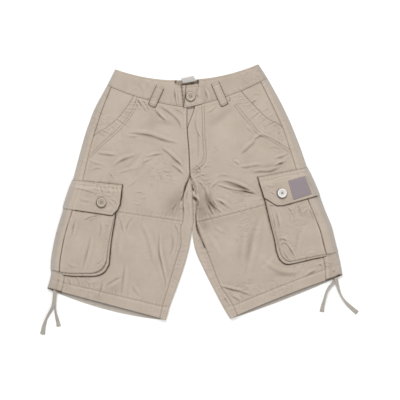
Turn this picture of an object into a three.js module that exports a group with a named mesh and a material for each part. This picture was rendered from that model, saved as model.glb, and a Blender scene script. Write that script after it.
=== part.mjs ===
import * as THREE from 'three';

// Cargo shorts laid flat on a surface, front side up.
// Sizes are millimetres: x runs to the right as seen from above, y towards the waist, z up.
// Left and right are as seen from above, so the wearer's right leg is the left one here.

const CLOTH = 1.2; // wall of the washed cotton twill, with its turnings
const BAND_CLOTH = 2; // waistband, doubled and fused
const LOOP_CLOTH = 1.6; // belt loop, folded in three
const LABEL_CLOTH = 1; // woven label, folded once
const SEAM = 0.3; // room between two pieces where they are sewn together
const SEAT = 0.5; // room under a piece that lies on a panel
const LAYER = CLOTH + SEAT; // what one more layer of cloth adds to a stack
const BODY = 4.5; // top of the front cloth over the surface, away from folds
const EDGE = 2.4; // half the width of the roll where the back comes round to the front
const ROW_STEP = 18; // spacing of the sections down a leg
const COLUMN_STEP = 14; // spacing of the points across a front
// How many steps each stretch of the other pieces is divided into.
const COUNTS = {
  backWrap: 2, backLevel: 4, backFlat: 6, facing: 5, bandDown: 3, bandFront: 18, bandBack: 8,
  pocketUnder: 3, gussetDown: 8, gussetWide: 2, loopWide: 2, loopDown: 8, shieldDown: 12,
  shieldWide: 4, patch: 4, labelWide: 3, labelDown: 2, tape: 14,
};

const WAIST_TOP = -44; // upper edge of the waistband, as a place along the leg
const SLANT_END = 118; // lower end of the slanted hand pocket
const CROTCH = 180; // where the four inner seams meet
const HEM_TURN = 26; // depth of the turned-up hem that holds the drawstring
const HEM_RISE = 0.8; // how much that turned hem stands above the leg
const HEM_RAMP = 4; // and the width over which it climbs
const REAR_REACH = 48; // how far a cargo pocket runs on under the leg
const LIFT_KEEP = 55; // the back cloth is lifted this far in from the side, over the cargo pocket
const LIFT_FADE = 35; // and comes down to the surface over this width
const COLORS = {
  twill: 0xbfb1a4, backs: 0xb9aca0, lower: 0xbcae9f, band: 0xbcafa2, gussets: 0xb2a595,
  pockets: 0xbdb0a0, flaps: 0xc0b2a5, beige: 0xb6aa9b, white: 0xe9e8e6, patch: 0x968a8f,
  label: 0xe4e2df, tape: 0xaca49a,
};
const CLOTH_ROUGHNESS = 0.9;
const BUTTON_ROUGHNESS = 0.35;

const named = (columns, lines) => lines.map((line) => Object.fromEntries(
  columns.map((column, index) => [column, line[index]])));

// Each leg is a row of level sections. A section runs from its outer edge to its inner edge.
// sag bows a section towards the hem, side is the width of back cloth that shows on the front,
// front is where the front cloth starts, inset where it stops short of the inner edge, and lift is
// how far the cargo pocket raises the leg. The inner edges meet down to the crotch's lower end.
const LEG_COLUMNS = ['along', 'outerX', 'outerY', 'innerX', 'innerY', 'sag', 'backSag',
  'side', 'front', 'inset', 'lift'];
const LEGS = {
  left: named(LEG_COLUMNS, [
    [-44, -191, 294, -17, 268, 9, 9, 8, 69, 0, 0],
    [0, -210, 256, -18, 203, 8, 8, 10, 69, 0, 0],
    [56, -240, 200, -18, 151, 4, 4, 18, 64, 0, 0],
    [90, -253, 166, -16, 124, 1, 1, 20, 47, 0, 0],
    [118, -264, 134, -14, 100, 0, 0, 21, 21, 0, 0],
    [180, -282, 67, -11, 40, 0, 0, 22, 22, 0, 0.5],
    [222, -292, 29, -6, 0, 0, 0, 24, 24, 20, 3.4],
    [288, -311, -29, -3.5, -74, 0, 0, 24, 24, 25, 3.4],
    [303, -314, -43, -6.5, -88, 0, 0, 24, 24, 27, 3.4],
    [346, -325, -78, -13, -132, 0, 0, 24, 24, 21, 1.7],
    [387, -334, -112, -24, -174, 0, 0, 26, 26, 23, 1.7],
    [442, -343, -163, -44, -233, 0, 2, 29, 29, 20, 1.7],
    [481, -345, -200, -57, -267, 0, 6, 33, 33, 18, 1.7],
    [518, -353.5, -231, -69, -307, 0, 12, 35, 35, 15, 0],
  ]),
  right: named(LEG_COLUMNS, [
    [-44, 153, 306, -17, 268, 8, 8, 16, 70, 18, 0],
    [0, 174, 273, -18, 203, 8, 8, 18, 70, 18, 0],
    [56, 202, 223, -18, 151, 5, 5, 21, 58, 0, 0],
    [90, 219, 189, -16, 124, 2, 2, 22, 46, 0, 0],
    [118, 232, 160, -14, 100, 0, 0, 22, 22, 0, 0],
    [180, 255, 101, -11, 40, 0, 0, 25, 25, 0, 0.5],
    [222, 270, 56, -6, 0, 0, 0, 26, 26, 8, 3.4],
    [288, 291.5, 6, -3.5, -74, 3, 3, 27, 27, 7, 3.4],
    [303, 296.5, -7, -6.5, -88, 3, 3, 27, 27, 15, 3.4],
    [346, 312.5, -48, 1, -138, 1, 1, 28, 28, 25, 1.7],
    [390, 327, -84, 20, -182, 0, 0, 30, 30, 23, 1.7],
    [440, 337, -125, 44, -230, -2, -2, 34, 34, 18, 1.7],
    [484, 347.5, -163, 66.5, -273, -3, 1, 38, 38, 23, 1.7],
    [520, 354, -199, 85, -304, -4, 4, 42, 42, 19, 0],
  ]),
};
const KNEE = { left: 288, right: 288 };
const HEM = { left: 518, right: 520 };

// Largest folds of the front, each a ridge between two places, or a hollow where rise is negative.
const FOLD_COLUMNS = ['fromX', 'fromY', 'toX', 'toY', 'wide', 'rise'];
const LEG_FOLDS = named(FOLD_COLUMNS, [
  [-144, 138, -103, 135, 9, 3],
  [-103, 135, -42, 117, 9, 3.2],
  [-80, 106, -30, 62, 8, 3],
  [-58, 67, -22, 38, 7, 2.4],
  [-193, 64, -141, 89, 9, 2.8],
  [-226, 91, -183, 88, 7, 2],
  [-106, 87, -74, 91, 6, 2.2],
  [-97, 195, -58, 161, 8, 2.6],
  [-79, 206, -35, 161, 8, 2.6],
  [-131, -82, -103, -180, 12, 2.4],
  [-82, -103, -84, -155, 10, 2.6],
  [-84, -155, -70, -228, 10, 3],
  [-220, -211, -227, -245, 7, 2],
  [-171, -182, -176, -265, 10, 2.4],
  [52, 18, 98, 22, 10, 3.4],
  [66, 14, 143, 0, 11, 4.2],
  [113, 96, 155, 133, 8, 2.6],
  [155, 133, 183, 128, 7, 2.4],
  [189, 66, 217, 77, 8, 3],
  [141, 48, 185, 60, 6, 1.6],
  [41, -7, 60, -40, 12, -1.2],
  [145, -74, 130, -142, 12, 3.2],
  [130, -142, 118, -204, 12, 3.6],
  [159, -165, 204, -192, 10, 3],
  [204, -192, 248, -189, 9, 2.4],
  [62, -226, 137, -249, 8, 3.4],
  [84, -248, 111, -263, 7, 2.4],
  [-340, -236, -322, -238, 16, 2.6],
  [335, -212, 345, -207, 16, 2.6],
]);
// Folds in the faces of the cargo pockets alone.
const POCKET_FOLDS = named(FOLD_COLUMNS, [
  [-248, -105, -268, -186, 9, 1.8],
  [-262, -70, -232, -66, 7, 1.4],
  [200, -116, 221, -115, 7, 2],
  [215, -121, 240, -159, 8, 2.2],
  [196, -55, 204, -88, 8, 1.6],
]);

// Cargo pockets. front is how far the pocket reaches in from the side at from, and grows by spread
// for each millimetre down the leg. The lower edge is a place along the leg for each share of width.
const FLAPS = {
  left: { top: 222, front: 119, from: 222, spread: 0.19,
    lower: [[0, 299], [0.87, 299], [0.96, 284], [1, 268]] },
  right: { top: 219, front: 120, from: 219, spread: 0.08,
    lower: [[0, 304], [0.7, 303], [0.81, 299], [0.94, 279], [1, 271]] },
};
const BAGS = {
  left: { top: 242, front: 123, from: 288, spread: 0.115,
    lower: [[0, 474], [0.3, 471], [0.57, 463], [0.78, 455], [0.93, 440], [1, 421]] },
  right: { top: 242, front: 129, from: 308, spread: 0.135,
    lower: [[0, 469], [0.37, 459], [0.75, 452], [0.87, 446], [0.96, 428], [1, 404]] },
};
const GUSSET_SHOWS = 7; // width of the bellows strip that shows beyond the pocket's face
const GUSSET_WIDE = 15;
const GUSSET_SEAT = 0.8;
const PLEAT = { left: 21, right: 28 }; // place of the pleat's edge, in from the side
const PLEAT_STEP = 0.9;
const PLEAT_RAMP = 3;
const BELLOWS_RAMP = 22; // width over which a pocket's face climbs from the side onto the bellows
const FLAP_SEATED = 2; // a flap lies on the leg this far past its seam, and this far short of the face
// Shares of a pocket's and a flap's width that have points, closer together near the cut corner.
const BAG_SHARES = [0.1, 0.2, 0.28, 0.4, 0.52, 0.64, 0.76, 0.86, 0.94, 1];
const FLAP_SHARES = [0.1, 0.2, 0.28, 0.4, 0.52, 0.64, 0.76, 0.87, 0.94, 1];
// And of a bag's lower edge that the bellows strip follows.
const BAG_RIM_SHARES = [1, 0.97, 0.93, 0.86, 0.78, 0.67, 0.57, 0.44, 0.3, 0.2];

const clamp01 = (value) => Math.min(1, Math.max(0, value));
const smooth = (value) => clamp01(value) ** 2 * (3 - 2 * clamp01(value));
const mix = THREE.MathUtils.lerp;
const SMOOTH_COLUMNS = ['outerX', 'outerY', 'innerX', 'innerY'];

function slopeAt(levels, index, column) {
  const before = levels[Math.max(0, index - 1)];
  const after = levels[Math.min(levels.length - 1, index + 1)];
  return (after[column] - before[column]) / (after.along - before.along);
}

// One column of a leg's table at any place along the leg.
function read(levels, column, along) {
  let index = 0;
  while (index < levels.length - 2 && along > levels[index + 1].along) index += 1;
  const [above, below] = [levels[index], levels[index + 1]];
  const reach = below.along - above.along;
  const share = (along - above.along) / reach;
  if (!SMOOTH_COLUMNS.includes(column)) return mix(above[column], below[column], clamp01(share));
  const leave = slopeAt(levels, index, column) * reach;
  const arrive = slopeAt(levels, index + 1, column) * reach;
  const square = share * share;
  const cube = square * share;
  return above[column] * (2 * cube - 3 * square + 1) + below[column] * (3 * square - 2 * cube)
    + leave * (cube - 2 * square + share) + arrive * (cube - square);
}

function sectionAt(side, along) {
  const levels = LEGS[side];
  const outer = new THREE.Vector2(read(levels, 'outerX', along), read(levels, 'outerY', along));
  const inner = new THREE.Vector2(read(levels, 'innerX', along), read(levels, 'innerY', along));
  const across = inner.clone().sub(outer).normalize();
  const toHem = new THREE.Vector2(-across.y, across.x);
  if (toHem.y > 0) toHem.negate();
  return { side, along, outer, across, toHem, width: inner.distanceTo(outer) };
}

function plan(section, place, sagColumn) {
  const share = place / section.width;
  const sag = read(LEGS[section.side], sagColumn, section.along) * 4 * share * (1 - share);
  return section.outer.clone().addScaledVector(section.across, place)
    .addScaledVector(section.toHem, sag);
}

function foldHeight(folds, x, y) {
  let height = 0;
  for (const fold of folds) {
    const spanX = fold.toX - fold.fromX;
    const spanY = fold.toY - fold.fromY;
    const share = clamp01(((x - fold.fromX) * spanX + (y - fold.fromY) * spanY)
      / (spanX ** 2 + spanY ** 2));
    const away = Math.hypot(x - fold.fromX - share * spanX, y - fold.fromY - share * spanY);
    const ridge = fold.rise * Math.exp(-((away / fold.wide) ** 2));
    height = Math.abs(ridge) > Math.abs(height) ? ridge : height;
  }
  return height;
}

const liftAt = (section, place) => read(LEGS[section.side], 'lift', section.along)
  * (1 - smooth((place - LIFT_KEEP) / LIFT_FADE));

function heightAt(section, place) {
  const spot = plan(section, place, 'sag');
  const hem = HEM_RISE * smooth((section.along - HEM[section.side] + HEM_TURN) / HEM_RAMP);
  return BODY + liftAt(section, place) + foldHeight(LEG_FOLDS, spot.x, spot.y) + hem;
}

const ROLL_TURNS = [2, 1, 0, -1, -2].map((count) => count * Math.PI / 4);

// Three stretches of a leg's skin: its top, the roll at either edge, and its underside.
// out moves the point off the skin, which is how a wall gets its inner side and a layer its place.
function onTop(section, place, out) {
  const spot = plan(section, place, 'sag');
  return new THREE.Vector3(spot.x, spot.y, heightAt(section, place) + out);
}

function onUnder(section, place, out) {
  const spot = plan(section, place, 'backSag');
  return new THREE.Vector3(spot.x, spot.y, liftAt(section, place) - out);
}

function onRoll(section, place, direction, turn, out, drop = 0) {
  const low = liftAt(section, place);
  const high = heightAt(section, place) - drop;
  const half = (high - low) / 2;
  const spot = plan(section, place + direction * (EDGE + out) * Math.cos(turn), 'sag');
  return new THREE.Vector3(spot.x, spot.y, low + half + (half + out) * Math.sin(turn));
}

const steps = (count, from, to) => Array.from({ length: count + 1 },
  (_, index) => mix(from, to, index / count));

// Places along a leg where every piece has a section, so that seams share their points.
function alongs(side, from, to) {
  const levels = LEGS[side].map((level) => level.along);
  const all = levels.slice(1).flatMap((next, index) => {
    const count = Math.max(1, Math.round((next - levels[index]) / ROW_STEP));
    return steps(count, levels[index], next).slice(0, -1);
  });
  return [from, ...all.filter((along) => along > from + 1 && along < to - 1), to];
}

// A closed wall between an outer and an inner grid of points, each one row per section.
function wall(outer, inner) {
  const rows = outer.length;
  const columns = outer[0].length;
  const points = [...outer.flat(), ...inner.flat()];
  const faces = [];
  const at = (row, column, layer) => layer * rows * columns + row * columns + column;
  const quad = (a, b, c, d) => faces.push(a, b, c, a, c, d);
  for (let row = 0; row < rows - 1; row += 1) {
    for (let column = 0; column < columns - 1; column += 1) {
      quad(at(row, column, 0), at(row + 1, column, 0), at(row + 1, column + 1, 0),
        at(row, column + 1, 0));
      quad(at(row, column, 1), at(row, column + 1, 1), at(row + 1, column + 1, 1),
        at(row + 1, column, 1));
    }
    const last = columns - 1;
    quad(at(row, 0, 0), at(row, 0, 1), at(row + 1, 0, 1), at(row + 1, 0, 0));
    quad(at(row, last, 0), at(row + 1, last, 0), at(row + 1, last, 1), at(row, last, 1));
  }
  for (let column = 0; column < columns - 1; column += 1) {
    const last = rows - 1;
    quad(at(0, column, 0), at(0, column + 1, 0), at(0, column + 1, 1), at(0, column, 1));
    quad(at(last, column, 0), at(last, column, 1), at(last, column + 1, 1),
      at(last, column + 1, 0));
  }
  let volume = 0;
  for (let index = 0; index < faces.length; index += 3) {
    const [a, b, c] = [points[faces[index]], points[faces[index + 1]], points[faces[index + 2]]];
    volume += a.dot(b.clone().cross(c));
  }
  if (volume < 0) faces.reverse();
  const geometry = new THREE.BufferGeometry().setFromPoints(points);
  geometry.setIndex(faces);
  geometry.computeVertexNormals();
  return geometry;
}

const shorts = new THREE.Group();

function add(name, geometry, color = COLORS.twill, roughness = CLOTH_ROUGHNESS) {
  const material = new THREE.MeshStandardMaterial({ color, roughness, metalness: 0 });
  const mesh = new THREE.Mesh(geometry, material);
  mesh.name = name;
  shorts.add(mesh);
  return mesh;
}

// A front panel between two places along a leg, from the side or pocket edge to the inner edge.
function frontPanel(side, from, to) {
  const levels = LEGS[side];
  const grid = (out) => alongs(side, from, to).map((along) => {
    const section = sectionAt(side, along);
    const start = read(levels, 'front', along) + SEAM / 2;
    const end = section.width - read(levels, 'inset', along) - SEAM / 2;
    const count = Math.round(sectionAt(side, to).width / COLUMN_STEP);
    return steps(count, start, end).map((place) => onTop(section, place, out));
  });
  return wall(grid(0), grid(-CLOTH));
}

// A back panel lies under the leg and comes round both edges to the seams on the front. Above the
// crotch it ends flat at the centre back. Just below, it tucks under the fronts and then rises.
const FLAT_END = 9; // width of the flat strip at the centre back
const FIRST_UNDER = 30; // first place on the underside, in from the outer roll
const TUCK_FADE = 30; // length down the leg over which the back rises beside the fronts
const INNER_LEAST = EDGE + 2; // least width of back cloth at the inner edge
function backPanel(side) {
  const levels = LEGS[side];
  const grid = (out) => alongs(side, SEAT, HEM[side]).map((along) => {
    const section = sectionAt(side, along);
    const width = section.width - SEAM / 2;
    const sideEdge = read(levels, 'side', along) - SEAM / 2;
    const outerWrap = steps(COUNTS.backWrap, sideEdge, EDGE).slice(0, -1)
      .map((place) => onTop(section, place, out));
    const outerRoll = ROLL_TURNS.map((turn) => onRoll(section, EDGE, -1, turn, out));
    const wrapped = along > CROTCH - 1;
    const underEnd = wrapped ? width - EDGE : width - FLAT_END;
    const lifted = [FIRST_UNDER, LIFT_KEEP, LIFT_KEEP + LIFT_FADE / 2, LIFT_KEEP + LIFT_FADE];
    const level = steps(COUNTS.backLevel, LIFT_KEEP + LIFT_FADE, underEnd).slice(1, -1);
    const under = [...lifted, ...level].map((place) => onUnder(section, place, out));
    if (!wrapped) {
      const flat = steps(COUNTS.backFlat, underEnd, width)
        .map((place) => onUnder(section, place, out));
      return [...outerWrap, ...outerRoll, ...under, ...flat];
    }
    const drop = (LAYER + SEAM) * (1 - smooth((along - CROTCH - ROW_STEP) / TUCK_FADE));
    const innerEnd = section.width - Math.max(read(levels, 'inset', along) - SEAM / 2, INNER_LEAST);
    const innerRoll = [...ROLL_TURNS].reverse()
      .map((turn) => onRoll(section, width - EDGE, 1, turn, out, drop));
    const innerWrap = steps(COUNTS.backWrap, width - EDGE, innerEnd).slice(1)
      .map((place) => onTop(section, place, out - drop));
    return [...outerWrap, ...outerRoll, ...under, ...innerRoll, ...innerWrap];
  });
  return wall(grid(0), grid(-CLOTH));
}

// The pocket facing shows between the slanted opening and the side seam, and runs on under the
// front.
const FACING_UNDER = 14;
function pocketFacing(side) {
  const levels = LEGS[side];
  const grid = (out) => alongs(side, SEAM / 2, SLANT_END).map((along) => {
    const section = sectionAt(side, along);
    const start = read(levels, 'side', along) + SEAM / 2;
    const end = read(levels, 'front', along) + FACING_UNDER;
    return steps(COUNTS.facing, start, end).map((place) => onTop(section, place, out));
  });
  return wall(grid(-LAYER), grid(-LAYER - CLOTH));
}

// Each half of the waistband runs from the fly round the side to the centre back. The upper edge
// dips at the fly, and the right end lies over the left one.
const BAND_DIP = 8;
const BAND_END = { left: 11, right: 9 }; // how far each end runs past the centre
const BAND_NOTCH = { left: 24, right: 26 }; // where the dip starts, short of the centre
const BAND_CLIMB = { start: 46, wide: 20 }; // where the right end climbs onto the left one
const BAND_ROLL = 0.9; // the thick band thins a little where it rolls round the side
const BAND_NOTCH_RAMP = 4;
function waistband(side) {
  const raised = (section, place) => (side === 'left' ? 0 : (BAND_CLOTH + SEAM)
    * smooth((place - section.width + BAND_CLIMB.start) / BAND_CLIMB.wide));
  const grid = (out) => steps(COUNTS.bandDown, 0, 1).map((share) => {
    const backSection = sectionAt(side, mix(WAIST_TOP, -SEAM / 2, share));
    const frontEnd = backSection.width + BAND_END[side];
    const front = steps(COUNTS.bandFront, frontEnd, EDGE).slice(0, -1).map((place) => {
      const notch = backSection.width - BAND_NOTCH[side];
      const top = WAIST_TOP + BAND_DIP * smooth((place - notch) / BAND_NOTCH_RAMP);
      const section = sectionAt(side, mix(top, -SEAM / 2, share));
      return onTop(section, place, out + raised(section, place));
    });
    const roll = ROLL_TURNS.map((turn) => onRoll(backSection, EDGE, -1, turn, out * BAND_ROLL));
    const back = steps(COUNTS.bandBack, EDGE, backSection.width - SEAM / 2).slice(1)
      .map((place) => onUnder(backSection, place, out));
    return [...front, ...roll, ...back];
  });
  return wall(grid(0), grid(-BAND_CLOTH));
}

function lowerEdge(pocket, share) {
  const lower = pocket.lower;
  let index = 0;
  while (index < lower.length - 2 && share > lower[index + 1][0]) index += 1;
  const [[shareA, alongA], [shareB, alongB]] = [lower[index], lower[index + 1]];
  return mix(alongA, alongB, clamp01((share - shareA) / (shareB - shareA)));
}

const frontEdge = (pocket, along) => pocket.front + (along - pocket.from) * pocket.spread;

// How far a cargo pocket's face and flap stand off the leg. Over the bellows strip they are one
// layer higher than round the side, and the flap comes down to the leg at its own seam.
function faceOffset(side, place) {
  const bellows = (GUSSET_SEAT + CLOTH) * smooth((place - EDGE) / BELLOWS_RAMP);
  const pleat = PLEAT_STEP * smooth((place - PLEAT[side]) / PLEAT_RAMP);
  return SEAT + bellows + pleat;
}

function flapOffset(side, along, place) {
  const climb = BAGS[side].top - FLAPS[side].top - 2 * FLAP_SEATED;
  const seated = smooth((along - FLAPS[side].top - FLAP_SEATED) / climb);
  return SEAT + (faceOffset(side, place) - SEAT + LAYER) * seated;
}

// A sheet that starts under the leg, comes round its side and runs in over its front.
function roundSide(side, pocket, shares, shortBy, offset) {
  const bottom = lowerEdge(pocket, 0) - shortBy;
  const grid = (out) => alongs(side, pocket.top, bottom).map((sideAlong) => {
    const down = (sideAlong - pocket.top) / (bottom - pocket.top);
    const sideSection = sectionAt(side, sideAlong);
    const under = steps(COUNTS.pocketUnder, REAR_REACH, EDGE).slice(0, -1).map(
      (place) => onUnder(sideSection, place, offset(sideAlong, 0) + out));
    const roll = [...ROLL_TURNS].reverse().map(
      (turn) => onRoll(sideSection, EDGE, -1, turn, offset(sideAlong, 0) + out));
    const top = shares.map((share) => {
      const along = mix(pocket.top, lowerEdge(pocket, share) - shortBy, down);
      const section = sectionAt(side, along);
      const place = mix(EDGE, frontEdge(pocket, along) - shortBy * down, share);
      const spot = plan(section, place, 'sag');
      const fold = foldHeight(POCKET_FOLDS, spot.x, spot.y);
      return onTop(section, place, offset(along, place) + fold + out);
    });
    return [...under, ...roll, ...top];
  });
  return wall(grid(CLOTH), grid(0));
}

// The bellows strip runs down the front edge of a cargo pocket and along its bottom.
function gusset(side) {
  const pocket = BAGS[side];
  const rim = [];
  for (const down of steps(COUNTS.gussetDown, 0, 1).slice(0, -1)) {
    const along = mix(pocket.top, lowerEdge(pocket, 1), down);
    rim.push(new THREE.Vector2(along, frontEdge(pocket, along)));
  }
  for (const share of BAG_RIM_SHARES) {
    const along = lowerEdge(pocket, share);
    rim.push(new THREE.Vector2(along, frontEdge(pocket, along) * share));
  }
  const grid = (out) => rim.map((spot, index) => {
    const before = rim[Math.max(0, index - 1)];
    const after = rim[Math.min(rim.length - 1, index + 1)];
    const run = after.clone().sub(before).normalize();
    return steps(COUNTS.gussetWide, 0, GUSSET_WIDE).map((depth) => {
      const along = spot.x + run.y * depth;
      const place = spot.y - run.x * depth;
      return onTop(sectionAt(side, along), place, GUSSET_SEAT + out);
    });
  });
  return wall(grid(CLOTH), grid(0));
}

// Finds the place on a leg that lies under a point of the plan, by halving the leg again and again.
const SEARCH_TURNS = 24;
const ABOVE_BAND = 20;
function locate(side, x, y) {
  let [low, high] = [WAIST_TOP - ABOVE_BAND, HEM[side]];
  let section = sectionAt(side, low);
  let place = 0;
  for (let turn = 0; turn < SEARCH_TURNS; turn += 1) {
    section = sectionAt(side, (low + high) / 2);
    const spot = new THREE.Vector2(x, y);
    place = spot.clone().sub(section.outer).dot(section.across);
    if (spot.sub(plan(section, place, 'sag')).dot(section.toHem) > 0) low = section.along;
    else high = section.along;
  }
  return { section, place };
}

// A flat trim on a leg, given by its four corners seen from above.
function trim(side, corners, countX, countY, lift, thick) {
  const grid = (out) => steps(countY, 0, 1).map((down) => steps(countX, 0, 1).map((across) => {
    const upper = corners[0].clone().lerp(corners[1], across);
    const lower = corners[3].clone().lerp(corners[2], across);
    const spot = upper.lerp(lower, down);
    const { section, place } = locate(side, spot.x, spot.y);
    return onTop(section, place, lift(section.along, place) + out);
  }));
  return wall(grid(thick), grid(0));
}

const corner = (x, y) => new THREE.Vector2(x, y);

// Belt loops lean a little and reach past the waist seam.
const LOOP_WIDE = 18;
const LOOP_SEAT = 0.9;
const LOOPS = {
  left: { top: corner(-83, 251), bottom: corner(-103, 206) },
  right: { top: corner(49, 260), bottom: corner(71.5, 208) },
};
function beltLoop(side) {
  const { top, bottom } = LOOPS[side];
  const half = bottom.clone().sub(top).normalize().multiplyScalar(LOOP_WIDE / 2);
  const right = corner(-half.y, half.x);
  const corners = [top.clone().sub(right), top.clone().add(right), bottom.clone().add(right),
    bottom.clone().sub(right)];
  return trim(side, corners, COUNTS.loopWide, COUNTS.loopDown, () => LOOP_SEAT, LOOP_CLOTH);
}

// The shield behind the fly shows where the right front falls away below the button.
const SHIELD = { top: 199, bottom: 55, edge: -26, wide: 44 };
function flyShield() {
  const places = steps(COUNTS.shieldWide, SHIELD.edge, SHIELD.edge + SHIELD.wide);
  const grid = (out) => steps(COUNTS.shieldDown, SHIELD.top, SHIELD.bottom).map((y) => places
    .map((x) => new THREE.Vector3(x, y, BODY + foldHeight(LEG_FOLDS, x, y) + out)));
  return wall(grid(-LAYER), grid(-LAYER - CLOTH));
}

const BUTTON_RADIUS = 10.8;
const BUTTON_THICK = 3;
const BUTTON_SIDES = 20;
const BUTTON_TRIES = 12; // points round a button where its seat is looked for
const BUTTONS = { left: corner(-223, -25), right: corner(209, -2.6), fly: corner(-9.7, 229) };
function button(side, x, y, lift) {
  let seat = 0;
  for (const turn of steps(BUTTON_TRIES, 0, Math.PI * 2)) {
    const { section, place } = locate(side, x + BUTTON_RADIUS * Math.cos(turn),
      y + BUTTON_RADIUS * Math.sin(turn));
    seat = Math.max(seat, onTop(section, place, lift(section.along, place)).z);
  }
  const [foot, round, rim, well] = [1, 0.8, 2.2, 1.2];
  const profile = [
    [0, 0], [BUTTON_RADIUS - foot, 0], [BUTTON_RADIUS, foot], [BUTTON_RADIUS, BUTTON_THICK - round],
    [BUTTON_RADIUS - round, BUTTON_THICK], [BUTTON_RADIUS - rim, BUTTON_THICK],
    [BUTTON_RADIUS - rim - well, BUTTON_THICK - well], [0, BUTTON_THICK - well],
  ].map(([radius, height]) => new THREE.Vector2(radius, height));
  const geometry = new THREE.LatheGeometry(profile, BUTTON_SIDES);
  geometry.rotateX(Math.PI / 2);
  geometry.translate(x, y, seat + SEAM);
  return geometry;
}

// Flat drawstring tape. Each end's route is chosen by hand, and is given as its middle line.
const TAPE_WIDE = 8;
const TAPE_THICK = 1.2;
const ROUTES = {
  drawstring_left_inner: [
    [-333.4, -234, 2.4], [-333.8, -238, 2.4], [-334.2, -242, 2.4], [-334.6, -248, 2.2],
    [-335, -254, 1.4], [-335.4, -260, 0.8], [-335.6, -267, 0.7], [-335.5, -274, 0.7],
    [-334.8, -281, 0.7], [-333.8, -288, 0.7], [-332.4, -295, 0.7], [-330.8, -302, 0.7],
    [-329, -309, 0.7], [-327.5, -316, 0.7], [-326.4, -322, 0.7],
  ],
  drawstring_left_outer: [
    [-334.2, -234, 4], [-334.6, -238, 4], [-335.2, -242, 4], [-336, -248, 3.9],
    [-336.6, -254, 3.4], [-337.4, -260, 2.7], [-338.4, -267, 2.4], [-340, -274, 2.3],
    [-343, -281, 2], [-347, -288, 1.2], [-351, -295, 0.8], [-355, -303, 0.7],
    [-358.6, -312, 0.7], [-361.6, -322, 0.7], [-363.6, -332, 0.7], [-365, -341, 0.7],
  ],
  drawstring_right_inner: [
    [337.5, -202, 2.3], [337, -207, 2.3], [335.5, -212.5, 2.2], [332.5, -218, 1.4],
    [328.5, -223, 0.8], [324, -228, 0.7], [319.5, -234, 0.7], [316, -240.5, 0.7],
    [313.5, -248, 0.7], [311.5, -256, 0.7], [309.5, -264, 0.7], [307.5, -272, 0.7],
    [306, -280, 0.7], [305, -287, 0.7],
  ],
  drawstring_right_outer: [
    [338.5, -202, 3.9], [339, -207, 3.9], [339.8, -213, 3.7], [341, -219, 2.6],
    [343, -226, 1.4], [345, -233, 0.8], [347.5, -240, 0.7], [350.5, -247, 0.7],
    [354.5, -254, 0.7], [359.5, -261, 0.7], [365, -267.5, 0.7], [371, -273.5, 0.7],
    [377.5, -279.5, 0.7], [384, -285, 0.7], [389.5, -289.5, 0.7],
  ],
};
function tape(route) {
  const path = new THREE.CatmullRomCurve3(route.map((point) => new THREE.Vector3(...point)));
  const section = new THREE.Shape();
  const [thick, wide, cut] = [TAPE_THICK / 2, TAPE_WIDE / 2, 0.35];
  [[-thick, wide - cut], [-thick, cut - wide], [cut - thick, -wide], [thick - cut, -wide],
    [thick, cut - wide], [thick, wide - cut], [thick - cut, wide], [cut - thick, wide],
  ].forEach(([x, y], index) => {
    if (index === 0) section.moveTo(x, y);
    else section.lineTo(x, y);
  });
  return new THREE.ExtrudeGeometry(section, { steps: COUNTS.tape, extrudePath: path });
}

// The plain patch on the right flap and the blank label in the notch, corner by corner.
const PATCH = [corner(223.6, 26.4), corner(263.6, 37.9), corner(279, -4.1), corner(236, -18.5)];
const LABEL = [corner(-32, 272), corner(-3, 278), corner(2, 266), corner(-28, 261)];

for (const side of ['left', 'right']) {
  const onFlap = (along, place) => flapOffset(side, along, place) + CLOTH;
  add(`back_${side}`, backPanel(side), COLORS.backs);
  add(`pocket_facing_${side}`, pocketFacing(side));
  add(`front_upper_${side}`, frontPanel(side, SEAM / 2, KNEE[side] - SEAM / 2));
  add(`front_lower_${side}`, frontPanel(side, KNEE[side] + SEAM / 2, HEM[side]), COLORS.lower);
  add(`waistband_${side}`, waistband(side), COLORS.band);
  add(`belt_loop_${side}`, beltLoop(side));
  add(`cargo_gusset_${side}`, gusset(side), COLORS.gussets);
  add(`cargo_pocket_${side}`, roundSide(side, BAGS[side], BAG_SHARES, GUSSET_SHOWS,
    (_, place) => faceOffset(side, place)), COLORS.pockets);
  add(`cargo_flap_${side}`, roundSide(side, FLAPS[side], FLAP_SHARES, 0,
    (along, place) => flapOffset(side, along, place)), COLORS.flaps);
  add(`flap_button_${side}`, button(side, BUTTONS[side].x, BUTTONS[side].y, onFlap),
    side === 'left' ? COLORS.beige : COLORS.white, BUTTON_ROUGHNESS);
}
add('fly_shield', flyShield());
add('fly_button', button('right', BUTTONS.fly.x, BUTTONS.fly.y, () => BAND_CLOTH + SEAM),
  COLORS.beige, BUTTON_ROUGHNESS);
add('flap_patch', trim('right', PATCH, COUNTS.patch, COUNTS.patch,
  (along, place) => flapOffset('right', along, place) + LAYER, CLOTH), COLORS.patch);
add('waist_label', trim('right', LABEL, COUNTS.labelWide, COUNTS.labelDown,
  () => BAND_CLOTH + SEAM - BODY, LABEL_CLOTH), COLORS.label);
for (const [name, route] of Object.entries(ROUTES)) add(name, tape(route), COLORS.tape);

export default shorts;
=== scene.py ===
from collections import namedtuple

import bpy
import numpy as np
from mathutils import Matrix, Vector
from mathutils.bvhtree import BVHTree


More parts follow.
